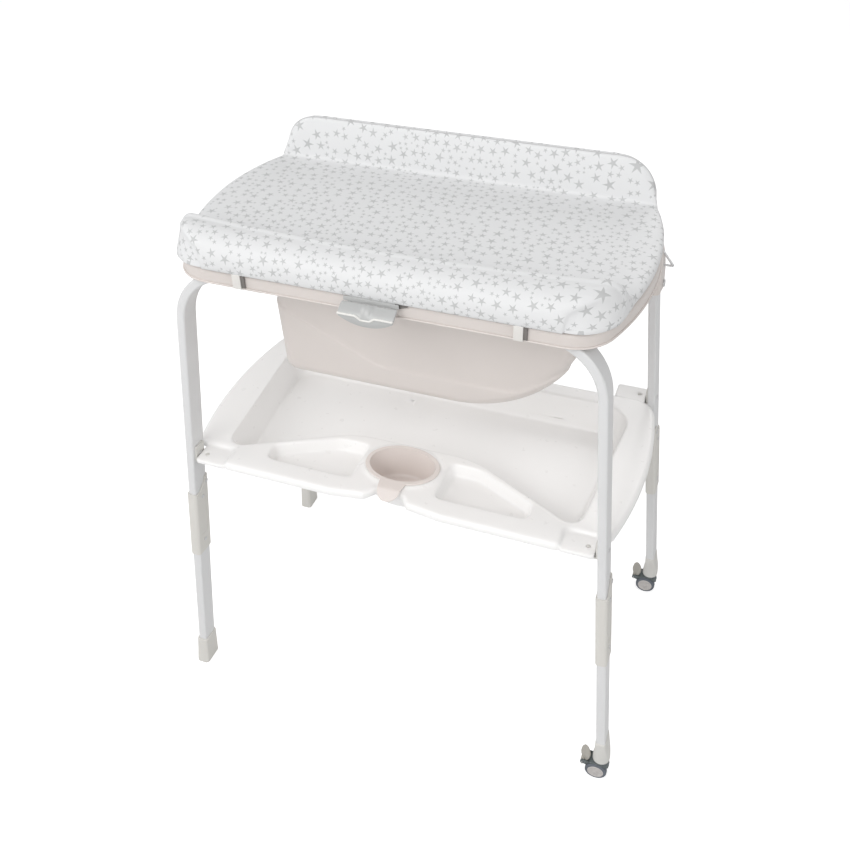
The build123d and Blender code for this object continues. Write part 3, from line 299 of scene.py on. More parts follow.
def makeFinish(name, v):
    finish, tree, shader = newFinish(name)
    place = addNode(tree, "TexCoord", {})["Object"]
    tone = mapped(tree, noiseNode(tree, place, *v["clouds"]), 0, 1)
    darker = tuple(part * v["drift"] for part in v["colour"])
    scuffs = noiseNode(tree, place, *v["scuffs"])
    lower, higher = v["scuffSpan"]
    grain = noiseNode(tree, place, v["grain"])
    looks = {
        "Base Color": mixedColour(tree, tone, darker, v["colour"]),
        "Roughness": mapped(tree, scuffs, v["roughness"] - lower, v["roughness"] + higher),
        "Normal": bumped(tree, grain, v["depth"], v["grainHeight"]),
        "Coat Weight": v["coat"],
        "Coat Roughness": v["coatRoughness"],
        "Metallic": v["metal"],
    }
    setInputs(tree, shader, looks)
    return finish


finishes = {}
for plain, group in ((plainMoulding, mouldingValues), (plainMetal, metalValues)):
    for name, values in group.items():
        finishes[name] = makeFinish(name, {**plain, **values})

finishOfSlot = {
    "leg_tube": "powderCoat",
    "joint_sleeve": "jointMoulding",
    "foot_cap": "jointMoulding",
    "caster_socket": "lightMoulding",
    "bracket": "lightMoulding",
    "steel": "pinSteel",
    "tub_shell": "tubMoulding",
    "tray_shell": "trayMoulding",
    "wire": "wirePlating",
    "hinge_metal": "hingePaint",
    "board_panel": "boardMoulding",
    "mat_cover": "boardMoulding",
    "clip_plastic": "boardMoulding",
    "latch_plastic": "latchMoulding",
    "cup_plastic": "cupMoulding",
    "plug_rubber": "plugRubber",
    "caster_hood": "hoodMoulding",
    "pedal_plastic": "pedalMoulding",
    "tyre": "tyreRubber",
    "hub_cap": "hubMoulding",
}


def dressNodes():
    for part in frame["record"]["subparts"]:
        piece = nodes[part["node"]]
        finish = finishes[finishOfSlot[part["material_slot"]]]
        if not piece.data.materials:
            piece.data.materials.append(finish)
        for place in range(len(piece.data.materials)):
            piece.data.materials[place] = finish


dressNodes()
print("finishes on,", len(finishes))

matValues = {
    "base": 0.8802,            # underside of the mat
    "front": -0.2008,          # its front and back bottom edges
    "back": 0.1905,
    "frontDroop": 0.0026,      # how far the cover hangs over the board's front edge
    "endBulge": 0.045,
    "halfLength": 0.3445,
    "endSwell": 0.008,         # how far the bolster's ends stand out
    "frontCorner": 0.060,
    "backCorner": 0.036,
    "middleHeight": 0.012,
    "wallHeight": 0.077,
    "bolsterHeight": 0.048,
    "wallTopY": 0.177,
    "wallRound": 0.008,
    "creaseY": 0.159,
    "crestY": -0.156,
    "crestBow": 0.020,         # how far back the crest runs at the ends
    "crestHalf": 0.007,
    "crestFall": (0.0022, 0.0040),     # how far the crest falls before and behind
    "frontBulge": 0.48,        # height of the front's fullest place over the crest's
    "slopeY": -0.106,
    "slopeSag": 0.10,
    "middleRise": 0.003,
    "creaseDip": 0.002,
    "edgeEase": 0.001,
    # Steps along front, crest, slope, middle, wall's face, wall's top and back.
    "steps": (11, 5, 8, 24, 9, 6, 8),
    # Where wall, bolster and middle begin to round off along the mat, and what is left
    # of their heights at its very end.
    "ends": ((0.80, 0.16), (0.92, 0.42), (0.95, 0.5)),
    "endRound": 2.3,
    "stations": 84,
    "crowding": 1.35,          # how much closer the stations stand at the ends
    "underInset": 0.002,
    "endStrip": 0.008,         # how far the print runs down the two ends
    "pipingRadius": 0.0009,
    "swellCap": 0.006,         # how far the filling may push the cover out
    "creaseHold": 0.7,         # how firmly the creases are held while it does
    "fillFrames": 20,
    "filling": {
        "quality": 5,
        "mass": 0.3,
        "tension_stiffness": 18,
        "compression_stiffness": 12,
        "shear_stiffness": 8,
        "bending_stiffness": 1.2,
        "use_pressure": True,
        "uniform_pressure_force": 2.6,
    },
}
innerPoint, creasePoint, wallPoint = (sum(matValues["steps"][:end]) for end in (3, 4, 5))


def arcPoints(first, middle, last, count):
    # Points on the arc through three points, without its last one.
    (x1, y1), (x2, y2), (x3, y3) = first, middle, last
    turn = 2 * (x1 * (y2 - y3) + x2 * (y3 - y1) + x3 * (y1 - y2))
    if abs(turn) < 1e-9:
        return [
            (x1 + (x3 - x1) * step / count, y1 + (y3 - y1) * step / count)
            for step in range(count)
        ]
    s1, s2, s3 = x1 * x1 + y1 * y1, x2 * x2 + y2 * y2, x3 * x3 + y3 * y3
    cx = (s1 * (y2 - y3) + s2 * (y3 - y1) + s3 * (y1 - y2)) / turn
    cy = (s1 * (x3 - x2) + s2 * (x1 - x3) + s3 * (x2 - x1)) / turn
    radius = math.hypot(x1 - cx, y1 - cy)
    start = math.atan2(y1 - cy, x1 - cx)
    halfway = (math.atan2(y2 - cy, x2 - cx) - start) % (2 * math.pi)
    sweep = (math.atan2(y3 - cy, x3 - cx) - start) % (2 * math.pi)
    if halfway > sweep:
        sweep -= 2 * math.pi
    return [
        (
            cx + radius * math.cos(start + sweep * step / count),
            cy + radius * math.sin(start + sweep * step / count),
        )
        for step in range(count)
    ]


def matProfile(v, wall, bolster, middle, crestY):
    # Top side of the mat's cross-section from its front bottom edge to its back one.
    floor = v["middleHeight"] * middle
    top = v["wallHeight"] * wall
    crest = v["bolsterHeight"] * bolster
    before, behind = (crest - fall * bolster for fall in v["crestFall"])
    ease = v["edgeEase"]
    low = top - min(v["wallRound"], top * 0.5)
    wallFront = (v["wallTopY"] - v["wallRound"], low)
    wallBack = (v["wallTopY"] + v["wallRound"], low)
    crestIn = (crestY + v["crestHalf"], behind)
    inner = (v["slopeY"], floor)
    crease = (v["creaseY"], floor - v["creaseDip"] * wall)
    sag = (crest - floor) * v["slopeSag"]
    corners = (
        (v["front"], -v["frontDroop"]),
        (crestY - v["crestHalf"], before),
        crestIn,
        inner,
        crease,
        wallFront,
        wallBack,
        (v["back"], 0.0),
    )
    middles = (
        (v["front"] + ease - ease * bolster, crest * v["frontBulge"]),
        (crestY, crest),
        ((crestIn[0] + inner[0]) / 2, (crestIn[1] + inner[1]) / 2 - sag),
        ((inner[0] + crease[0]) / 2, floor + v["middleRise"]),
        ((crease[0] + wallFront[0]) / 2 - 2 * ease, (crease[1] + wallFront[1]) / 2),
        (v["wallTopY"], top),
        (v["back"] + ease, low / 2),
    )
    points = []
    for first, halfway, last, count in zip(corners, middles, corners[1:], v["steps"]):
        points += arcPoints(first, halfway, last, count)
    points.append(corners[-1])
    return points


def matReach(v, y):
    # How far the mat's outline reaches along X at a place across it.
    half = v["back"] if y > 0 else -v["front"]
    corner = v["backCorner"] if y > 0 else v["frontCorner"]
    radius = (half**2 + v["endBulge"] ** 2) / (2 * v["endBulge"])
    arcX = v["halfLength"] - radius
    cornerY = half - corner
    cornerX = arcX + math.sqrt((radius - corner) ** 2 - cornerY**2)
    meetY = cornerY * radius / (radius - corner)
    across = min(abs(y), half)
    if across <= meetY:
        return arcX + math.sqrt(radius**2 - across**2)
    return cornerX + math.sqrt(max(corner**2 - (across - cornerY) ** 2, 0))


def endShares(v, place):
    shares = []
    for begin, left in v["ends"]:
        past = max(place - begin, 0) / (1 - begin)
        shares.append(left + (1 - left) * math.sqrt(max(1 - past ** v["endRound"], 0)))
    return shares


def buildMat(v):
    full = matProfile(v, 1, 1, 1, v["crestY"])
    count = len(full)
    lengths = [0.0]
    for (y0, z0), (y1, z1) in zip(full, full[1:]):
        lengths.append(lengths[-1] + math.hypot(y1 - y0, z1 - z0))
    half = v["stations"] // 2
    places = []
    for step in range(-half, half + 1):
        share = 1 - (1 - abs(step) / half) ** v["crowding"]
        places.append(math.copysign(share, step) if step else 0.0)
    mesh = bmesh.new()
    flat = mesh.loops.layers.uv.new("flat")
    top, low, flatX = [], [], []
    for place in places:
        crestY = v["crestY"] + v["crestBow"] * place**2
        profile = matProfile(v, *endShares(v, abs(place)), crestY)
        row, under, across = [], [], []
        for index, (y, z) in enumerate(profile):
            yFull = full[index][0]
            swell = v["endSwell"] * math.sin(math.pi * min(index / innerPoint, 1))
            x = place * matReach(v, yFull) + swell * place**5
            row.append(mesh.verts.new((x, y, v["base"] + z)))
            across.append(x)
            if 0 < index < count - 1:
                yLow = max(yFull, v["front"] + v["underInset"])
                yLow = min(yLow, v["back"] - v["underInset"])
                under.append(mesh.verts.new((x, yLow, v["base"])))
        under = [row[0]] + under + [row[-1]]
        top.append(row)
        low.append(under)
        flatX.append(across)

    def addFace(corners, places):
        face = mesh.faces.new(corners)
        face.smooth = True
        for loop, place in zip(face.loops, places):
            loop[flat].uv = place

    for s in range(len(places) - 1):
        for i in range(count - 1):
            corners = [(s, i), (s + 1, i), (s + 1, i + 1), (s, i + 1)]
            for sheet, sign in ((top, 1), (low, -1)):
                addFace(
                    [sheet[a][b] for a, b in corners],
                    [(flatX[a][b], sign * lengths[b]) for a, b in corners],
                )
                corners = corners[:1] + corners[:0:-1]
    for s, sign in ((0, -1), (len(places) - 1, 1)):
        for i in range(count - 1):
            corners = [top[s][i], top[s][i + 1], low[s][i + 1], low[s][i]]
            x0, x1 = flatX[s][i], flatX[s][i + 1]
            strip = sign * v["endStrip"]
            spots = [
                (x0, lengths[i]),
                (x1, lengths[i + 1]),
                (x1 + strip, lengths[i + 1]),
                (x0 + strip, lengths[i]),
            ]
            if i == 0:
                corners, spots = corners[:3], spots[:3]
            elif i == count - 2:
                corners = [corners[0], corners[1], corners[3]]
                spots = [spots[0], spots[1], spots[3]]
            if sign < 0:
                corners, spots = corners[::-1], spots[::-1]
            addFace(corners[::-1], spots[::-1])
    mesh.verts.index_update()
    mesh.faces.index_update()
    pinned = {vert.index for row in low for vert in row}
    topFaces = {
        face.index
        for face in mesh.faces
        if any(vert.index not in pinned for vert in face.verts)
    }
    seam = [row[wallPoint + 2].index for row in top]
    creases = {row[i].index for row in top for i in (innerPoint, creasePoint)}
    return pieceFromMesh("starMat", mesh), seam, pinned, creases, topFaces


def flattenCover(piece, topFaces):
    # The cover's upper sheet is laid out flat, at its real size, for the print.
    mesh = piece.data
    bpy.context.view_layer.objects.active = piece
    piece.select_set(True)
    bpy.ops.object.mode_set(mode="EDIT")
    sheet = bmesh.from_edit_mesh(mesh)
    sheet.faces.ensure_lookup_table()
    for face in sheet.faces:
        face.select_set(face.index in topFaces)
    for edge in sheet.edges:
        sides = {face.index in topFaces for face in edge.link_faces}
        edge.seam = len(sides) == 2
    bmesh.update_edit_mesh(mesh)
    bpy.ops.uv.unwrap(method="ANGLE_BASED", margin=0)
    bpy.ops.object.mode_set(mode="OBJECT")
    piece.select_set(False)
    flat = mesh.uv_layers["flat"].data
    realArea = flatArea = 0.0
    for face in mesh.polygons:
        if face.index in topFaces:
            realArea += face.area
            spots = [flat[loop].uv for loop in face.loop_indices]
            for step, spot in enumerate(spots):
                other = spots[step - 1]
                flatArea += (other.x * spot.y - spot.x * other.y) / 2
    scale = math.sqrt(realArea / abs(flatArea))
    for face in mesh.polygons:
        if face.index in topFaces:
            for loop in face.loop_indices:
                flat[loop].uv = flat[loop].uv * scale


def fillMat(piece, pinned, creases, v):
    # The filling pushes the cover out between its seams.
    start = [vert.co.copy() for vert in piece.data.vertices]
    group = piece.vertex_groups.new(name="sewn")
    group.add(sorted(pinned), 1.0, "REPLACE")
    group.add(sorted(creases - pinned), v["creaseHold"], "REPLACE")
    cloth = piece.modifiers.new("filling", "CLOTH")
    settings = cloth.settings
    for name, value in v["filling"].items():
        setattr(settings, name, value)
    settings.effector_weights.gravity = 0
    settings.vertex_group_mass = "sewn"
    cloth.collision_settings.use_collision = False
    scene = bpy.context.scene
    scene.frame_start, scene.frame_end = 1, v["fillFrames"]
    for step in range(1, v["fillFrames"] + 1):
        scene.frame_set(step)
    depsgraph = bpy.context.evaluated_depsgraph_get()
    filled = piece.evaluated_get(depsgraph).to_mesh()
    places = [vert.co.copy() for vert in filled.vertices]
    piece.evaluated_get(depsgraph).to_mesh_clear()
    piece.modifiers.remove(cloth)
    scene.frame_set(1)
    for vert, before, after in zip(piece.data.vertices, start, places):
        move = after - before
        if move.length > v["swellCap"]:
            move = move.normalized() * v["swellCap"]
        vert.co = before + move


def tubeAlong(name, points, radius, sides=8):
    mesh = bmesh.new()
    rings = []
    for index, point in enumerate(points):
        ahead = points[min(index + 1, len(points) - 1)] - points[max(index - 1, 0)]
        ahead.normalize()
        side = ahead.cross(Vector((0, 0, 1)))
        if side.length < 1e-6:
            side = Vector((0, 1, 0))
        side.normalize()
        up = side.cross(ahead)
        spots = [point + radius * (c * side + s * up) for c, s in roundTurn(sides)]
        rings.append([mesh.verts.new(spot) for spot in spots])
    for a, b in zip(rings, rings[1:]):
        for step in range(sides):
            other = (step + 1) % sides
            mesh.faces.new((a[step], b[step], b[other], a[other]))
    mesh.faces.new(rings[0])
    mesh.faces.new(rings[-1][::-1])
    bmesh.ops.recalc_face_normals(mesh, faces=mesh.faces)
    piece = pieceFromMesh(name, mesh)
    for face in piece.data.polygons:
        face.use_smooth = True
    return piece


clothValues = {
    "white": (0.778, 0.782, 0.787),
    "starGrey": (0.53, 0.535, 0.535),
    "bigCell": 0.0196,         # spacing of the large stars, in metres
    "bigLow": 0.0078,
    "bigHigh": 0.0114,
    "smallCell": 0.0109,
    "smallLow": 0.0036,
    "smallHigh": 0.0062,
    "waist": 0.31,             # inner corners of a star over its tips
    "faded": 0.82,             # how weak the print is at its weakest
    "weave": 130,
    "weaveDepth": 0.12,
    "puffDepth": 0.35,
    "roughness": (0.46, 0.58),
    "sheen": 0.08,
}


def maths(tree, kind, first, second=None):
    inputs = {0: first} if second is None else {0: first, 1: second}
    return addNode(tree, "Math", inputs, operation=kind)[0]


def cellNode(tree, place, size, feature="F1"):
    inputs = {"Scale": 1 / size, "Randomness": 0.62, "Vector": place}
    return addNode(tree, "TexVoronoi", inputs, voronoi_dimensions="2D", feature=feature)


def starSizes(tree, cells, size, low, high):
    # Radius of a cell's star, never past the cell's own edge, and a number for its turn.
    parts = addNode(tree, "SeparateColor", {"Color": cells["Color"]})
    edge = cellNode(tree, cells["Position"], size, "DISTANCE_TO_EDGE")
    room = maths(tree, "MULTIPLY", edge["Distance"], size * 0.97)
    wanted = maths(tree, "MULTIPLY", parts["Green"], high - low)
    wanted = maths(tree, "ADD", wanted, low)
    return maths(tree, "MINIMUM", wanted, room), parts["Red"]


def starShape(tree, place, centre, radius, turn, waist):
    # 1 inside a five-pointed star, 0 outside.
    offset = addNode(tree, "VectorMath", {0: place, 1: centre}, operation="SUBTRACT")[0]
    parts = addNode(tree, "SeparateXYZ", {0: offset})
    x, y = parts["X"], parts["Y"]
    squares = [maths(tree, "MULTIPLY", side, side) for side in (x, y)]
    reach = maths(tree, "SQRT", maths(tree, "ADD", *squares))
    reach = maths(tree, "DIVIDE", reach, radius)
    angle = maths(tree, "ARCTAN2", y, x)
    angle = maths(tree, "ADD", angle, maths(tree, "MULTIPLY", turn, 2 * math.pi))
    tenth = math.pi / 5
    angle = maths(tree, "FLOORED_MODULO", maths(tree, "ADD", angle, tenth), 2 * tenth)
    angle = maths(tree, "ABSOLUTE", maths(tree, "SUBTRACT", angle, tenth))
    along = maths(tree, "MULTIPLY", reach, maths(tree, "COSINE", angle))
    beside = maths(tree, "MULTIPLY", reach, maths(tree, "SINE", angle))
    first = maths(tree, "MULTIPLY", beside, waist * math.cos(tenth) - 1)
    second = maths(tree, "SUBTRACT", along, 1)
    second = maths(tree, "MULTIPLY", second, waist * math.sin(tenth))
    inside = maths(tree, "SUBTRACT", first, second)
    softEdge = {"From Min": -0.01, "From Max": 0.01, "Value": inside}
    return addNode(tree, "MapRange", softEdge)["Result"]


def starLayer(tree, place, v, kind):
    size = v[kind + "Cell"]
    cells = cellNode(tree, place, size)
    radius, turn = starSizes(tree, cells, size, v[kind + "Low"], v[kind + "High"])
    stars = starShape(tree, place, cells["Position"], radius, turn, v["waist"])
    return cells, radius, stars


def starCloth(v):
    finish, tree, shader = newFinish("starCloth")
    place = addNode(tree, "UVMap", {}, uv_map="flat")["UV"]
    bigStar = starLayer(tree, place, v, "big")[2]
    small, smallRadius, smallStar = starLayer(tree, place, v, "small")
    # a small star is left out where it would touch a large one
    near = cellNode(tree, small["Position"], v["bigCell"])
    nearRadius = starSizes(tree, near, v["bigCell"], v["bigLow"], v["bigHigh"])[0]
    apart = maths(tree, "MULTIPLY", near["Distance"], v["bigCell"])
    apart = maths(tree, "SUBTRACT", apart, maths(tree, "MULTIPLY", nearRadius, 0.85))
    clear = maths(tree, "GREATER_THAN", apart, smallRadius)
    smallStar = maths(tree, "MULTIPLY", smallStar, clear)
    stars = maths(tree, "MAXIMUM", bigStar, smallStar)

    body = addNode(tree, "TexCoord", {})["Object"]
    fade = mapped(tree, noiseNode(tree, body, 30, 3), v["faded"], 1.0)
    ink = maths(tree, "MULTIPLY", stars, fade)
    weave = {"Scale": v["weave"], "Vector": place}
    threads = [addNode(tree, "TexWave", weave, bands_direction=way)["Fac"] for way in "XY"]
    puffs = bumped(tree, noiseNode(tree, body, 26, 3), v["puffDepth"], 2.5 * mm)
    threads = maths(tree, "ADD", *threads)
    looks = {
        "Base Color": mixedColour(tree, ink, v["white"], v["starGrey"]),
        "Roughness": mapped(tree, noiseNode(tree, body, 70, 3), *v["roughness"]),
        "Normal": bumped(tree, threads, v["weaveDepth"], 0.3 * mm, puffs),
        "Sheen Weight": v["sheen"],
    }
    setInputs(tree, shader, looks)
    return finish


def makeMat(v):
    piece, seam, pinned, creases, topFaces = buildMat(v)
    flattenCover(piece, topFaces)
    fillMat(piece, pinned, creases, v)
    points = [piece.data.vertices[index].co.copy() for index in seam]
    piping = tubeAlong("matPiping", points, v["pipingRadius"])
    piping.data.materials.append(finishes["piping"])
    piece.data.materials.append(starCloth(clothValues))
    smooth = piece.modifiers.new("soft", "SUBSURF")
    smooth.levels = smooth.render_levels = 1
    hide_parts("mat")
    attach(piece, "changing_top")
    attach(piping, "changing_top")


makeMat(matValues)
print("mat filled and covered")


def loftRings(name, rings, finish, closed=False):
    # Skin over rings of equal count, capped at both ends unless the last meets the first.
    count = len(rings[0])
    spots = [spot for ring in rings for spot in ring]
    faces = []
    for level in range(len(rings) if closed else len(rings) - 1):
        low, high = level * count, (level + 1) % len(rings) * count
        for step in range(count):
            other = (step + 1) % count
            faces.append((low + step, low + other, high + other, high + step))
    if not closed:
        faces.append(tuple(range(count))[::-1])
        faces.append(tuple(range((len(rings) - 1) * count, len(rings) * count)))
    data = bpy.data.meshes.new(name)
    data.from_pydata(spots, [], faces)
    mesh = bmesh.new()
    mesh.from_mesh(data)
    bmesh.ops.recalc_face_normals(mesh, faces=mesh.faces)
    mesh.to_mesh(data)
    mesh.free()
    for face in data.polygons:
        face.use_smooth = True
    data.materials.append(finishes[finish])
    piece = addObject(name, data)
    return piece


def acrossRings(outline, *places):
    # The same outline, given in Y and Z, at each place along X.
    return [[Vector((x, y, z)) for y, z in outline] for x in places]


def roundBevel(piece, width, segments=2, angle=35):
    bevel = piece.modifiers.new("softEdges", "BEVEL")
    bevel.width = width
    bevel.segments = segments
    bevel.limit_method = "ANGLE"
    bevel.angle_limit = math.radians(angle)


softValues = {
    "tray": {
        "voxel": 0.0014,
        "rounds": {"all": 5, "inside": 34, "last": 3},
        "keep": 0.34,          # share of its faces that are kept
        "edge": 0.030,         # rim that is drawn less soft
        "lug": 0.045,
    },
    "tub": {
        "voxel": 0.0016,
        "rounds": {"all": 5, "inside": 7, "last": 3},
        "keep": 0.34,
        "foot": 0.010,
        "brim": 0.030,
    },
}


def softenMoulding(node, finish, insideTest, v):
    # A moulding with its corners drawn soft, more so where insideTest says.
    piece = addObject(node + "Moulding", nodes[node].data.copy())
    weld = piece.modifiers.new("joined", "WELD")
    weld.merge_threshold = 0.001 * mm
    skin = piece.modifiers.new("evenSkin", "REMESH")
    skin.mode = "VOXEL"
    skin.voxel_size = v["voxel"] * 1
    applyModifiers(piece)
    inside = piece.vertex_groups.new(name="inside")
    lowest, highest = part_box(node)
    verts = piece.data.vertices
    chosen = [vert.index for vert in verts if insideTest(vert.co, v, lowest, highest)]
    inside.add(chosen, 1.0, "REPLACE")
    for name, rounds in v["rounds"].items():
        if name == "last":
            thin = piece.modifiers.new("thinned", "DECIMATE")
            thin.ratio = v["keep"]
        ease = piece.modifiers.new(name, "SMOOTH")
        ease.factor, ease.iterations = 0.5, rounds
        ease.vertex_group = "inside" if name == "inside" else ""
    applyModifiers(piece)
    piece.vertex_groups.clear()
    for face in piece.data.polygons:
        face.use_smooth = True
    piece.data.materials.clear()
    piece.data.materials.append(finish)
    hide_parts(node)
    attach(piece, "frame")


def applyModifiers(piece):
    depsgraph = bpy.context.evaluated_depsgraph_get()
    shaped = bpy.data.meshes.new_from_object(piece.evaluated_get(depsgraph))
    piece.modifiers.clear()
    piece.data = shaped


def trayInside(spot, v, lowest, highest):
    sides = abs(spot.x) < highest[0] - v["edge"] - v["lug"]
    return sides and lowest[1] + v["edge"] < spot.y < highest[1] - v["edge"]


def tubInside(spot, v, lowest, highest):
    return lowest[2] + v["foot"] < spot.z < highest[2] - v["brim"]


for node, finish, slot, insideTest in (
    ("tray", "trayMoulding", "tray_shell", trayInside),
    ("tub", "tubMoulding", "tub_shell", tubInside),
):
    softenMoulding(node, finishes[finish], insideTest, softValues[node])
print("tray and tub softened")

widerValues = {
    "footX": 0.395,            # where a leg's middle meets the floor
    "pieces": (
        ("left_front_lower_leg", 1.42),
        ("left_rear_lower_leg", 1.42),
        ("right_front_lower_leg", 1.42),
        ("right_rear_lower_leg", 1.42),
        ("left_front_foot", 1.22),
        ("left_rear_foot", 1.22),
    ),
}


def makeWider(v):
    for node, share in v["pieces"]:
        piece = addObject(node + "Tube", nodes[node].data.copy())
        side = -1 if node.startswith("left") else 1
        for vert in piece.data.vertices:
            middle = side * (v["footX"] + legLeanX * vert.co.z)
            vert.co.x = middle + (vert.co.x - middle) * share
        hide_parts(node)
        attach(piece, "frame")


makeWider(widerValues)
print("lower legs widened")

bandValues = {
    "half": 0.196,
    "halfLength": 0.345,
    "corner": 0.060,
    "bulge": 0.045,
    "height": 0.8562,          # middle of the bead round the band's lower edge
    "radius": 0.0015,
    "sunk": 0.3,               # how far out its middle lies, over its radius
    "endSteps": 72,
    "sideSteps": 40,
}


def bandLine(v, out=0.0):
    # The band's outline as seen from above, anticlockwise.
    outline = {
        "front": -v["half"] - out,
        "back": v["half"] + out,
        "frontCorner": v["corner"] + out,
        "backCorner": v["corner"] + out,
        "endBulge": v["bulge"],
        "halfLength": v["halfLength"] + out,
    }
    half = v["half"] + out
    steps = v["endSteps"]
    ys = [-half * math.cos(math.pi * step / steps) for step in range(steps + 1)]
    right = [(matReach(outline, y), y) for y in ys]
    endX = right[0][0]
    across = [
        (endX - 2 * endX * step / v["sideSteps"], half) for step in range(1, v["sideSteps"])
    ]
    line = right + across
    return line + [(-x, -y) for x, y in line]


def makeBead(v):
    line = bandLine(v, v["radius"] * v["sunk"])
    rings = []
    for index, (x, y) in enumerate(line):
        (x0, y0), (x1, y1) = line[index - 1], line[(index + 1) % len(line)]
        ahead = Vector((x1 - x0, y1 - y0, 0)).normalized()
        out = Vector((ahead.y, -ahead.x, 0))
        middle = Vector((x, y, v["height"]))
        turns = [c * out + Vector((0, 0, s)) for c, s in roundTurn(10)]
        rings.append([middle + v["radius"] * turn for turn in turns])
    bead = loftRings("bandBead", rings, "tubMoulding", closed=True)
    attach(bead, "frame")


makeBead(bandValues)
print("band edged")

latchValues = {
    "halfWidth": 0.0405,
    "thickness": 0.0014,
    "profile": (               # place and height of the face, from its top edge to its lip
        (-0.2066, 0.8745), (-0.2082, 0.8752), (-0.2112, 0.8750), (-0.2160, 0.8731),
        (-0.2215, 0.8698), (-0.2252, 0.8662), (-0.2268, 0.8625), (-0.2268, 0.8580),
        (-0.2258, 0.8535), (-0.2240, 0.8490),
    ),
    "ribAt": 5,                # which point of the profile the rib runs along
    "ribRadius": 0.0017,
    "ribSteps": 48,
    "ribLift": 0.3,            # how far its middle stands off the face, over its radius
    "ribOut": 0.0004,
    "ribDip": 0.0052,          # how far the rib dips under the boss
    "dipWidth": 0.0072,
    "dipReach": 1.9,
    "endInset": 0.0005,
    "bossAt": 3,               # and which the boss sits on
    "bossRadius": 0.0085,
    "bossRise": 0.0030,
    "lipShort": (0.78, 2.2),   # how much shorter the lip is at its ends, and its curve
    "apron": ((-0.2037, 0.8728), (-0.2037, 0.8796), (-0.2026, 0.8796), (-0.2026, 0.8728)),
    # Painted shadow: a dark wedge to the paddle's right stands for the shade in the gap
    # under its end.
    "slitShade": ((-0.1985, 0.8700), (-0.1985, 0.8765), (-0.1945, 0.8765), (-0.1945, 0.8700)),
    "slitShadeFrom": 0.0365,
    "slitShadeLength": 0.014,
    "slitShadeTip": (0.8764, 0.2),   # height and share that it narrows to
    "stations": 40,
}


def latchSpot(v, x, index):
    # A point of the paddle's outer face, with the lip shorter towards its ends.
    y, z = v["profile"][index]
    ribY, ribZ = v["profile"][v["ribAt"]]
    if index > v["ribAt"]:
        shorter, curve = v["lipShort"]
        share = 1 - shorter * (abs(x) / v["halfWidth"]) ** curve
        y, z = ribY + (y - ribY) * share, ribZ + (z - ribZ) * share
    return Vector((x, y, z))


def latchNormal(v, index):
    y0, z0 = v["profile"][max(index - 1, 0)]
    y1, z1 = v["profile"][min(index + 1, len(v["profile"]) - 1)]
    return Vector((0, z1 - z0, y0 - y1)).normalized()


def makeLatch(v):
    count = len(v["profile"])
    outer, inner = [], []
    bossY, bossZ = v["profile"][v["bossAt"]]
    for step in range(v["stations"] + 1):
        x = v["halfWidth"] * (2 * step / v["stations"] - 1)
        rowOut, rowIn = [], []
        for index in range(count):
            spot = latchSpot(v, x, index)
            normal = latchNormal(v, index)
            away = math.hypot(x, math.hypot(spot.y - bossY, spot.z - bossZ))
            dome = max(1 - (away / v["bossRadius"]) ** 2, 0)
            rowOut.append(spot + normal * v["bossRise"] * math.sqrt(dome))
            rowIn.append(spot - normal * v["thickness"])
        outer.append(rowOut)
        inner.append(rowIn)
    rings = [out + inside[::-1] for out, inside in zip(outer, inner)]
    paddle = loftRings("latchPaddle", rings, "latchMoulding")
    smooth = paddle.modifiers.new("soft", "SUBSURF")
    smooth.levels = smooth.render_levels = 2
    endX = v["halfWidth"] - v["endInset"]
    ribNormal = latchNormal(v, v["ribAt"])
    points = []
    for step in range(v["ribSteps"] + 1):
        x = endX * (2 * step / v["ribSteps"] - 1)
        dip = v["ribDip"] * min(max(v["dipReach"] - abs(x) / v["dipWidth"], 0), 1)
        spot = latchSpot(v, x, v["ribAt"]) + Vector((0, -v["ribOut"], -dip))
        points.append(spot + ribNormal * v["ribRadius"] * v["ribLift"])
    rib = tubeAlong("latchRib", points, v["ribRadius"])
    # The rib's light colour is painted highlight.
    rib.data.materials.append(finishes["latchRibHighlight"])
    # The dark wedge beside the paddle is painted shadow for the gap between it and the
    # band.
    slit = [Vector((v["slitShadeFrom"], y, z)) for y, z in v["slitShade"]]
    tipX, (tipZ, narrow) = v["slitShadeFrom"] + v["slitShadeLength"], v["slitShadeTip"]
    slitEnd = [Vector((tipX, spot.y, tipZ + (spot.z - tipZ) * narrow)) for spot in slit]
    slitShade = loftRings("latchPaintedShade", [slit, slitEnd], "clipShade")
    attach(slitShade, "changing_top")
    ends = acrossRings(v["apron"], -endX, endX)
    apron = loftRings("latchApron", ends, "latchMoulding")
    roundBevel(apron, 0.0003)
    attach(apron, "changing_top")
    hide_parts("latch_paddle")
    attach(paddle, "latch")
    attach(rib, "latch")


makeLatch(latchValues)
print("latch made")

clipValues = {
    "places": (-0.2052, 0.2028),
    "width": 0.0128,
    "thickness": 0.0021,
    "standOff": 0.0034,
    "drop": 0.0235,
    "top": 0.8799,
    "band": -0.196,            # front of the rim's band
    "reach": 0.0048,           # how far the strap reaches in over it
    "hookGap": 0.0005,
    "shadeWidth": 0.0052,
}


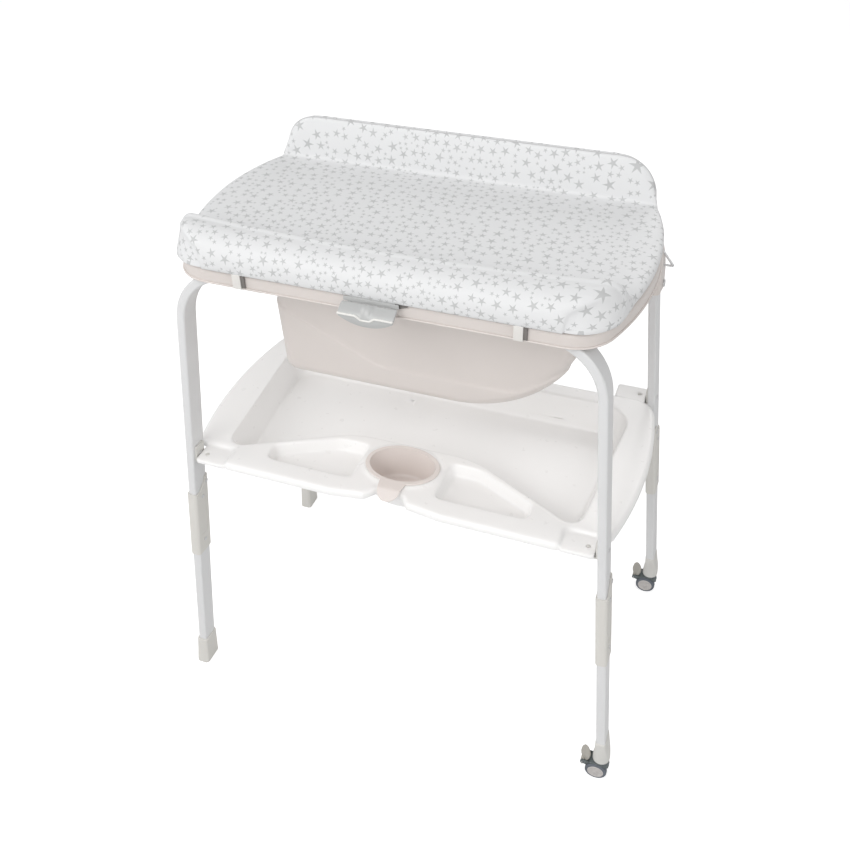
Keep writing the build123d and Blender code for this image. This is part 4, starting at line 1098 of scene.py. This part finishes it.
def makeClips(v):
    face = v["band"] - v["standOff"] - v["thickness"]
    back = v["band"] + v["reach"]
    hook = v["band"] - v["hookGap"]
    low = v["top"] - v["drop"]
    outline = [
        (back, v["top"]),
        (face + 0.0012, v["top"]),
        (face, v["top"] - 0.0014),
        (face, low + 0.001),
        (face + 0.0008, low),
        (hook, low),
        (hook, low + 0.002),
        (face + v["thickness"], low + 0.003),
        (face + v["thickness"], v["top"] - 0.0036),
        (back, v["top"] - 0.0035),
    ]
    # Beside each strap, a dark sheet in clipShade is painted shade for the hollow under the
    # strap's open side.
    outer, inner = face + 0.0018, v["band"] - 0.0004
    shadeOutline = [
        (inner, low + 0.001),
        (outer, low + 0.0025),
        (outer, v["top"] - 0.0025),
        (inner, v["top"] - 0.001),
    ]
    for name, x in zip(("clipLeft", "clipRight"), v["places"]):
        left, right = x - v["width"] / 2, x + v["width"] / 2
        rings = acrossRings(outline, left, right)
        strap = loftRings(name, rings, "boardMoulding")
        roundBevel(strap, 0.0005)
        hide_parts("clips")
        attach(strap, "changing_top")
        rings = acrossRings(shadeOutline, right, right + v["shadeWidth"])
        shade = loftRings(name + "PaintedShade", rings, "clipShade")
        roundBevel(shade, 0.0006)
        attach(shade, "changing_top")


makeClips(clipValues)
print("clips made")

wireValues = {
    "y": 0.1780,
    "radius": 0.0019,
    "corners": ((0.3150, 0.8120), (0.3275, 0.8085), (0.3470, 0.7835)),
    "bend": 0.0028,
}


def roundedRun(corners, bend, steps=5):
    # A run of straight pieces with each inner corner turned in a small bend.
    points = [corners[0]]
    for before, corner, after in zip(corners, corners[1:], corners[2:]):
        back = (before - corner).normalized() * bend
        on = (after - corner).normalized() * bend
        for step in range(steps + 1):
            t = step / steps
            points.append(corner + back * (1 - t) ** 2 + on * t**2)
    points.append(corners[-1])
    return points


def makeWire(v):
    right = [Vector((x, v["y"], z)) for x, z in v["corners"]]
    left = [Vector((-x, v["y"], z)) for x, z in v["corners"]]
    line = roundedRun(left + right[::-1], v["bend"])
    wire = tubeAlong("rearWire", line, v["radius"], 12)
    wire.data.materials.append(finishes["wirePlating"])
    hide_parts("wire_rail")
    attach(wire, "frame")


makeWire(wireValues)
print("wire bent")

casterValues = {
    "trail": 0.005,
    "sleeveRadius": 0.0148,
    "sleeveRound": 0.066,      # height up to which the sleeve stands upright
    "socketHalf": (0.0096, 0.0182),
    # Height, how far the sleeve has turned into the shoe there, and share of its size.
    "socketLevels": (
        (0.0436, 0.0, 0.93), (0.0444, 0.0, 0.985), (0.0466, 0.0, 1.0), (0.052, 0.0, 1.0),
        (0.060, 0.10, 1.0), (0.068, 0.32, 1.0), (0.078, 0.62, 1.0), (0.088, 0.86, 1.0),
        (0.096, 0.98, 1.0), (0.1006, 1.0, 0.99), (0.1018, 1.0, 0.93),
    ),
    "pinOut": 0.025,
    "pinUp": 0.014,
    "lugRoot": (-0.0165, 0.0135),
    "lugFeet": ((0.003, -0.0045), (0.005, 0.0045)),    # its ends, from the root
    "lugPlace": 0.0105,
    "lugHalf": 0.0018,
    "lugRadius": 0.0036,
    "knuckleHalf": 0.0082,
    "neck": ((0.0388, 0.0135), (0.0440, 0.0135), (0.0446, 0.0128)),   # height, radius
    "pedalHigh": 0.030,
    "pedalWide": 0.024,
    "pedalThick": 0.0046,
    "pedalSunk": 0.002,        # how far its lower end reaches below the pin
    "pedalLean": 14.0,         # degrees its top leans in towards the leg
    "pedalTurn": 40.0,         # degrees its face is turned to the front
    # Place through the pedal's thickness and share of its full outline there.
    "layers": ((-1, 0.8), (-0.8, 0.93), (-0.3, 1), (0.4, 0.985), (0.85, 0.9), (1, 0.76)),
    "hubRadius": 0.0142,
    "hubFace": 0.0146,
    "hubRibs": 10,
    "ribRise": 0.0016,
    "ribSpan": (0.28, 0.82),
    # Share of the hub's radius and height over its face.
    "hubProfile": (
        (1.0, -0.0014), (1.0, 0.0002), (0.975, 0.0009), (0.90, 0.0013), (0.84, 0.0009),
        (0.80, 0.0002), (0.55, 0.0000), (0.30, 0.0003), (0.24, 0.0012), (0.16, 0.0015),
        (0.04, 0.0016),
    ),
    "hoodInner": 0.0203,
    "hoodOuter": 0.0218,
    "hoodHalf": 0.0138,
    "hoodEdge": (0.0007, 0.0012),      # how its long edges are cut off, down and in
    "hoodTaper": 0.55,
    "hoodSteps": 30,
    "hoodFrom": 22.0,          # degrees round the wheel where the hood begins and ends
    "hoodTo": 151.0,
}


def roundSpot(middle, reach, angle, y=0.0):
    # A point at some angle round an axis that runs along Y.
    return middle + Vector((reach * math.cos(angle), y, reach * math.sin(angle)))


def ovalRing(middle, halfX, halfY, power, count=40):
    ring = []
    for c, s in roundTurn(count):
        x = math.copysign(abs(c) ** (2 / power), c) * halfX
        y = math.copysign(abs(s) ** (2 / power), s) * halfY
        ring.append(middle + Vector((x, y, 0)))
    return ring


def makeSocket(v, row, end, axle):
    # Sleeve over the swivel that turns into a shoe for the leg's tube.
    x, y = axle.x + v["trail"], axle.y
    halfX, halfY = v["socketHalf"]
    rings = []
    for z, blend, size in v["socketLevels"]:
        rise = max(z - v["sleeveRound"], 0)
        middle = Vector((x + legLeanX * rise, y - end * legLeanY * rise, z))
        across = (v["sleeveRadius"] * (1 - blend) + halfX * blend) * size
        deep = (v["sleeveRadius"] * (1 - blend) + halfY * blend) * size
        rings.append(ovalRing(middle, across, deep, 2 + 3.4 * blend))
    socket = loftRings(row + "Socket", rings, "lightMoulding")
    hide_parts(row + "_caster_socket")
    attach(socket, "frame")


def makeHood(v, row, axle):
    # Arched cover over both wheels, narrow at its ends, with a lug for the pedal's pin.
    inner, outer = v["hoodInner"], v["hoodOuter"]
    edgeDown, edgeIn = v["hoodEdge"]
    rings = []
    for step in range(v["hoodSteps"] + 1):
        share = step / v["hoodSteps"]
        angle = math.radians(v["hoodFrom"] + (v["hoodTo"] - v["hoodFrom"]) * share)
        half = v["hoodHalf"] * (1 - v["hoodTaper"] * abs(2 * share - 1) ** 4)
        corners = [(inner, half), (outer - edgeDown, half), (outer, half - edgeIn)]
        front = [roundSpot(axle, reach, angle, -y) for reach, y in corners]
        back = [roundSpot(axle, reach, angle, y) for reach, y in corners]
        rings.append(front + back[::-1])
    hood = loftRings(row + "Hood", rings, "hoodMoulding")
    hood.modifiers.new("edges", "WEIGHTED_NORMAL").keep_sharp = True
    pin = axle + Vector((-v["pinOut"], 0, v["pinUp"]))
    rootX, rootZ = v["lugRoot"]
    root = axle + Vector((rootX, 0, rootZ))
    lugs = []
    for label, side in (("LugFront", -1), ("LugBack", 1)):
        sides = []
        for share in (-1, 1):
            y = side * v["lugPlace"] + share * side * v["lugHalf"]
            first, last = (root + Vector((x, y, z)) for x, z in v["lugFeet"])
            turns = [math.radians(turn) for turn in range(250, 70, -20)]
            tip = [roundSpot(pin, v["lugRadius"], turn, y) for turn in turns]
            sides.append([first] + tip + [last])
        lugs.append(loftRings(row + label, sides, "hoodMoulding"))
    x, y = axle.x + v["trail"], axle.y
    collar = [ovalRing(Vector((x, y, z)), radius, radius, 2) for z, radius in v["neck"]]
    neck = loftRings(row + "Neck", collar, "hoodMoulding")
    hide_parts(row + "_caster_hood")
    for piece in [hood, neck] + lugs:
        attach(piece, row + "_caster")


def makePedal(v, row, axle):
    # Upright oval plate on a knuckle round the pedal's pin.
    pin = axle + Vector((-v["pinOut"], 0, v["pinUp"]))
    lean, turn = math.radians(v["pedalLean"]), math.radians(v["pedalTurn"])
    up = Vector((math.sin(lean), 0, math.cos(lean)))
    face = Vector((-math.cos(turn), -math.sin(turn), 0))
    out = (face - up * face.dot(up)).normalized()
    across = up.cross(out)
    middle = pin + up * (v["pedalHigh"] / 2 - v["pedalSunk"])
    rings = []
    for place, size in v["layers"]:
        ring = []
        for spot in ovalRing(Vector(), 1, 1, 2.3, 36):
            ring.append(
                middle
                + up * spot.x * v["pedalHigh"] / 2 * size
                + across * spot.y * v["pedalWide"] / 2 * size
                + out * place * v["pedalThick"] / 2
            )
        rings.append(ring)
    pedal = loftRings(row + "Pedal", rings, "pedalMoulding")
    ends = [
        [roundSpot(pin, v["lugRadius"], 2 * math.pi * step / 20, y) for step in range(20)]
        for y in (-v["knuckleHalf"], v["knuckleHalf"])
    ]
    name = row + "PedalKnuckle"
    knuckle = loftRings(name, ends, "pedalMoulding")
    roundBevel(knuckle, 0.0004)
    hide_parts(row + "_brake_pedal")
    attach(pedal, row + "_pedal")
    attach(knuckle, row + "_pedal")


def makeHub(v, row, label, side, axle):
    # Cap over the wheel's middle: a rim, a shallow dish, and ribs from a small boss.
    ribFrom, ribTo = v["ribSpan"]
    rings = []
    for share, height in v["hubProfile"]:
        ring = []
        for step in range(48):
            angle = 2 * math.pi * step / 48
            rib = max(math.cos(angle * v["hubRibs"]), 0) ** 1.5 * v["ribRise"]
            lift = rib if ribFrom < share < ribTo else 0
            y = side * (v["hubFace"] + height + lift)
            ring.append(roundSpot(axle, v["hubRadius"] * share, angle, y))
        rings.append(ring)
    name = row + label.capitalize() + "Hub"
    hub = loftRings(name, rings, "hubMoulding")
    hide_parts(row + "_" + label + "_hub_cap")
    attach(hub, row + "_" + label + "_wheel")


def makeCasters(v):
    for row, end in (("front", -1), ("rear", 1)):
        low, high = (Vector(corner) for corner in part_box(row + "_caster_axle"))
        axle = (low + high) / 2
        makeSocket(v, row, end, axle)
        makeHood(v, row, axle)
        makePedal(v, row, axle)
        for label, side in (("outer", -1), ("inner", 1)):
            makeHub(v, row, label, side, axle)


makeCasters(casterValues)
print("casters made")
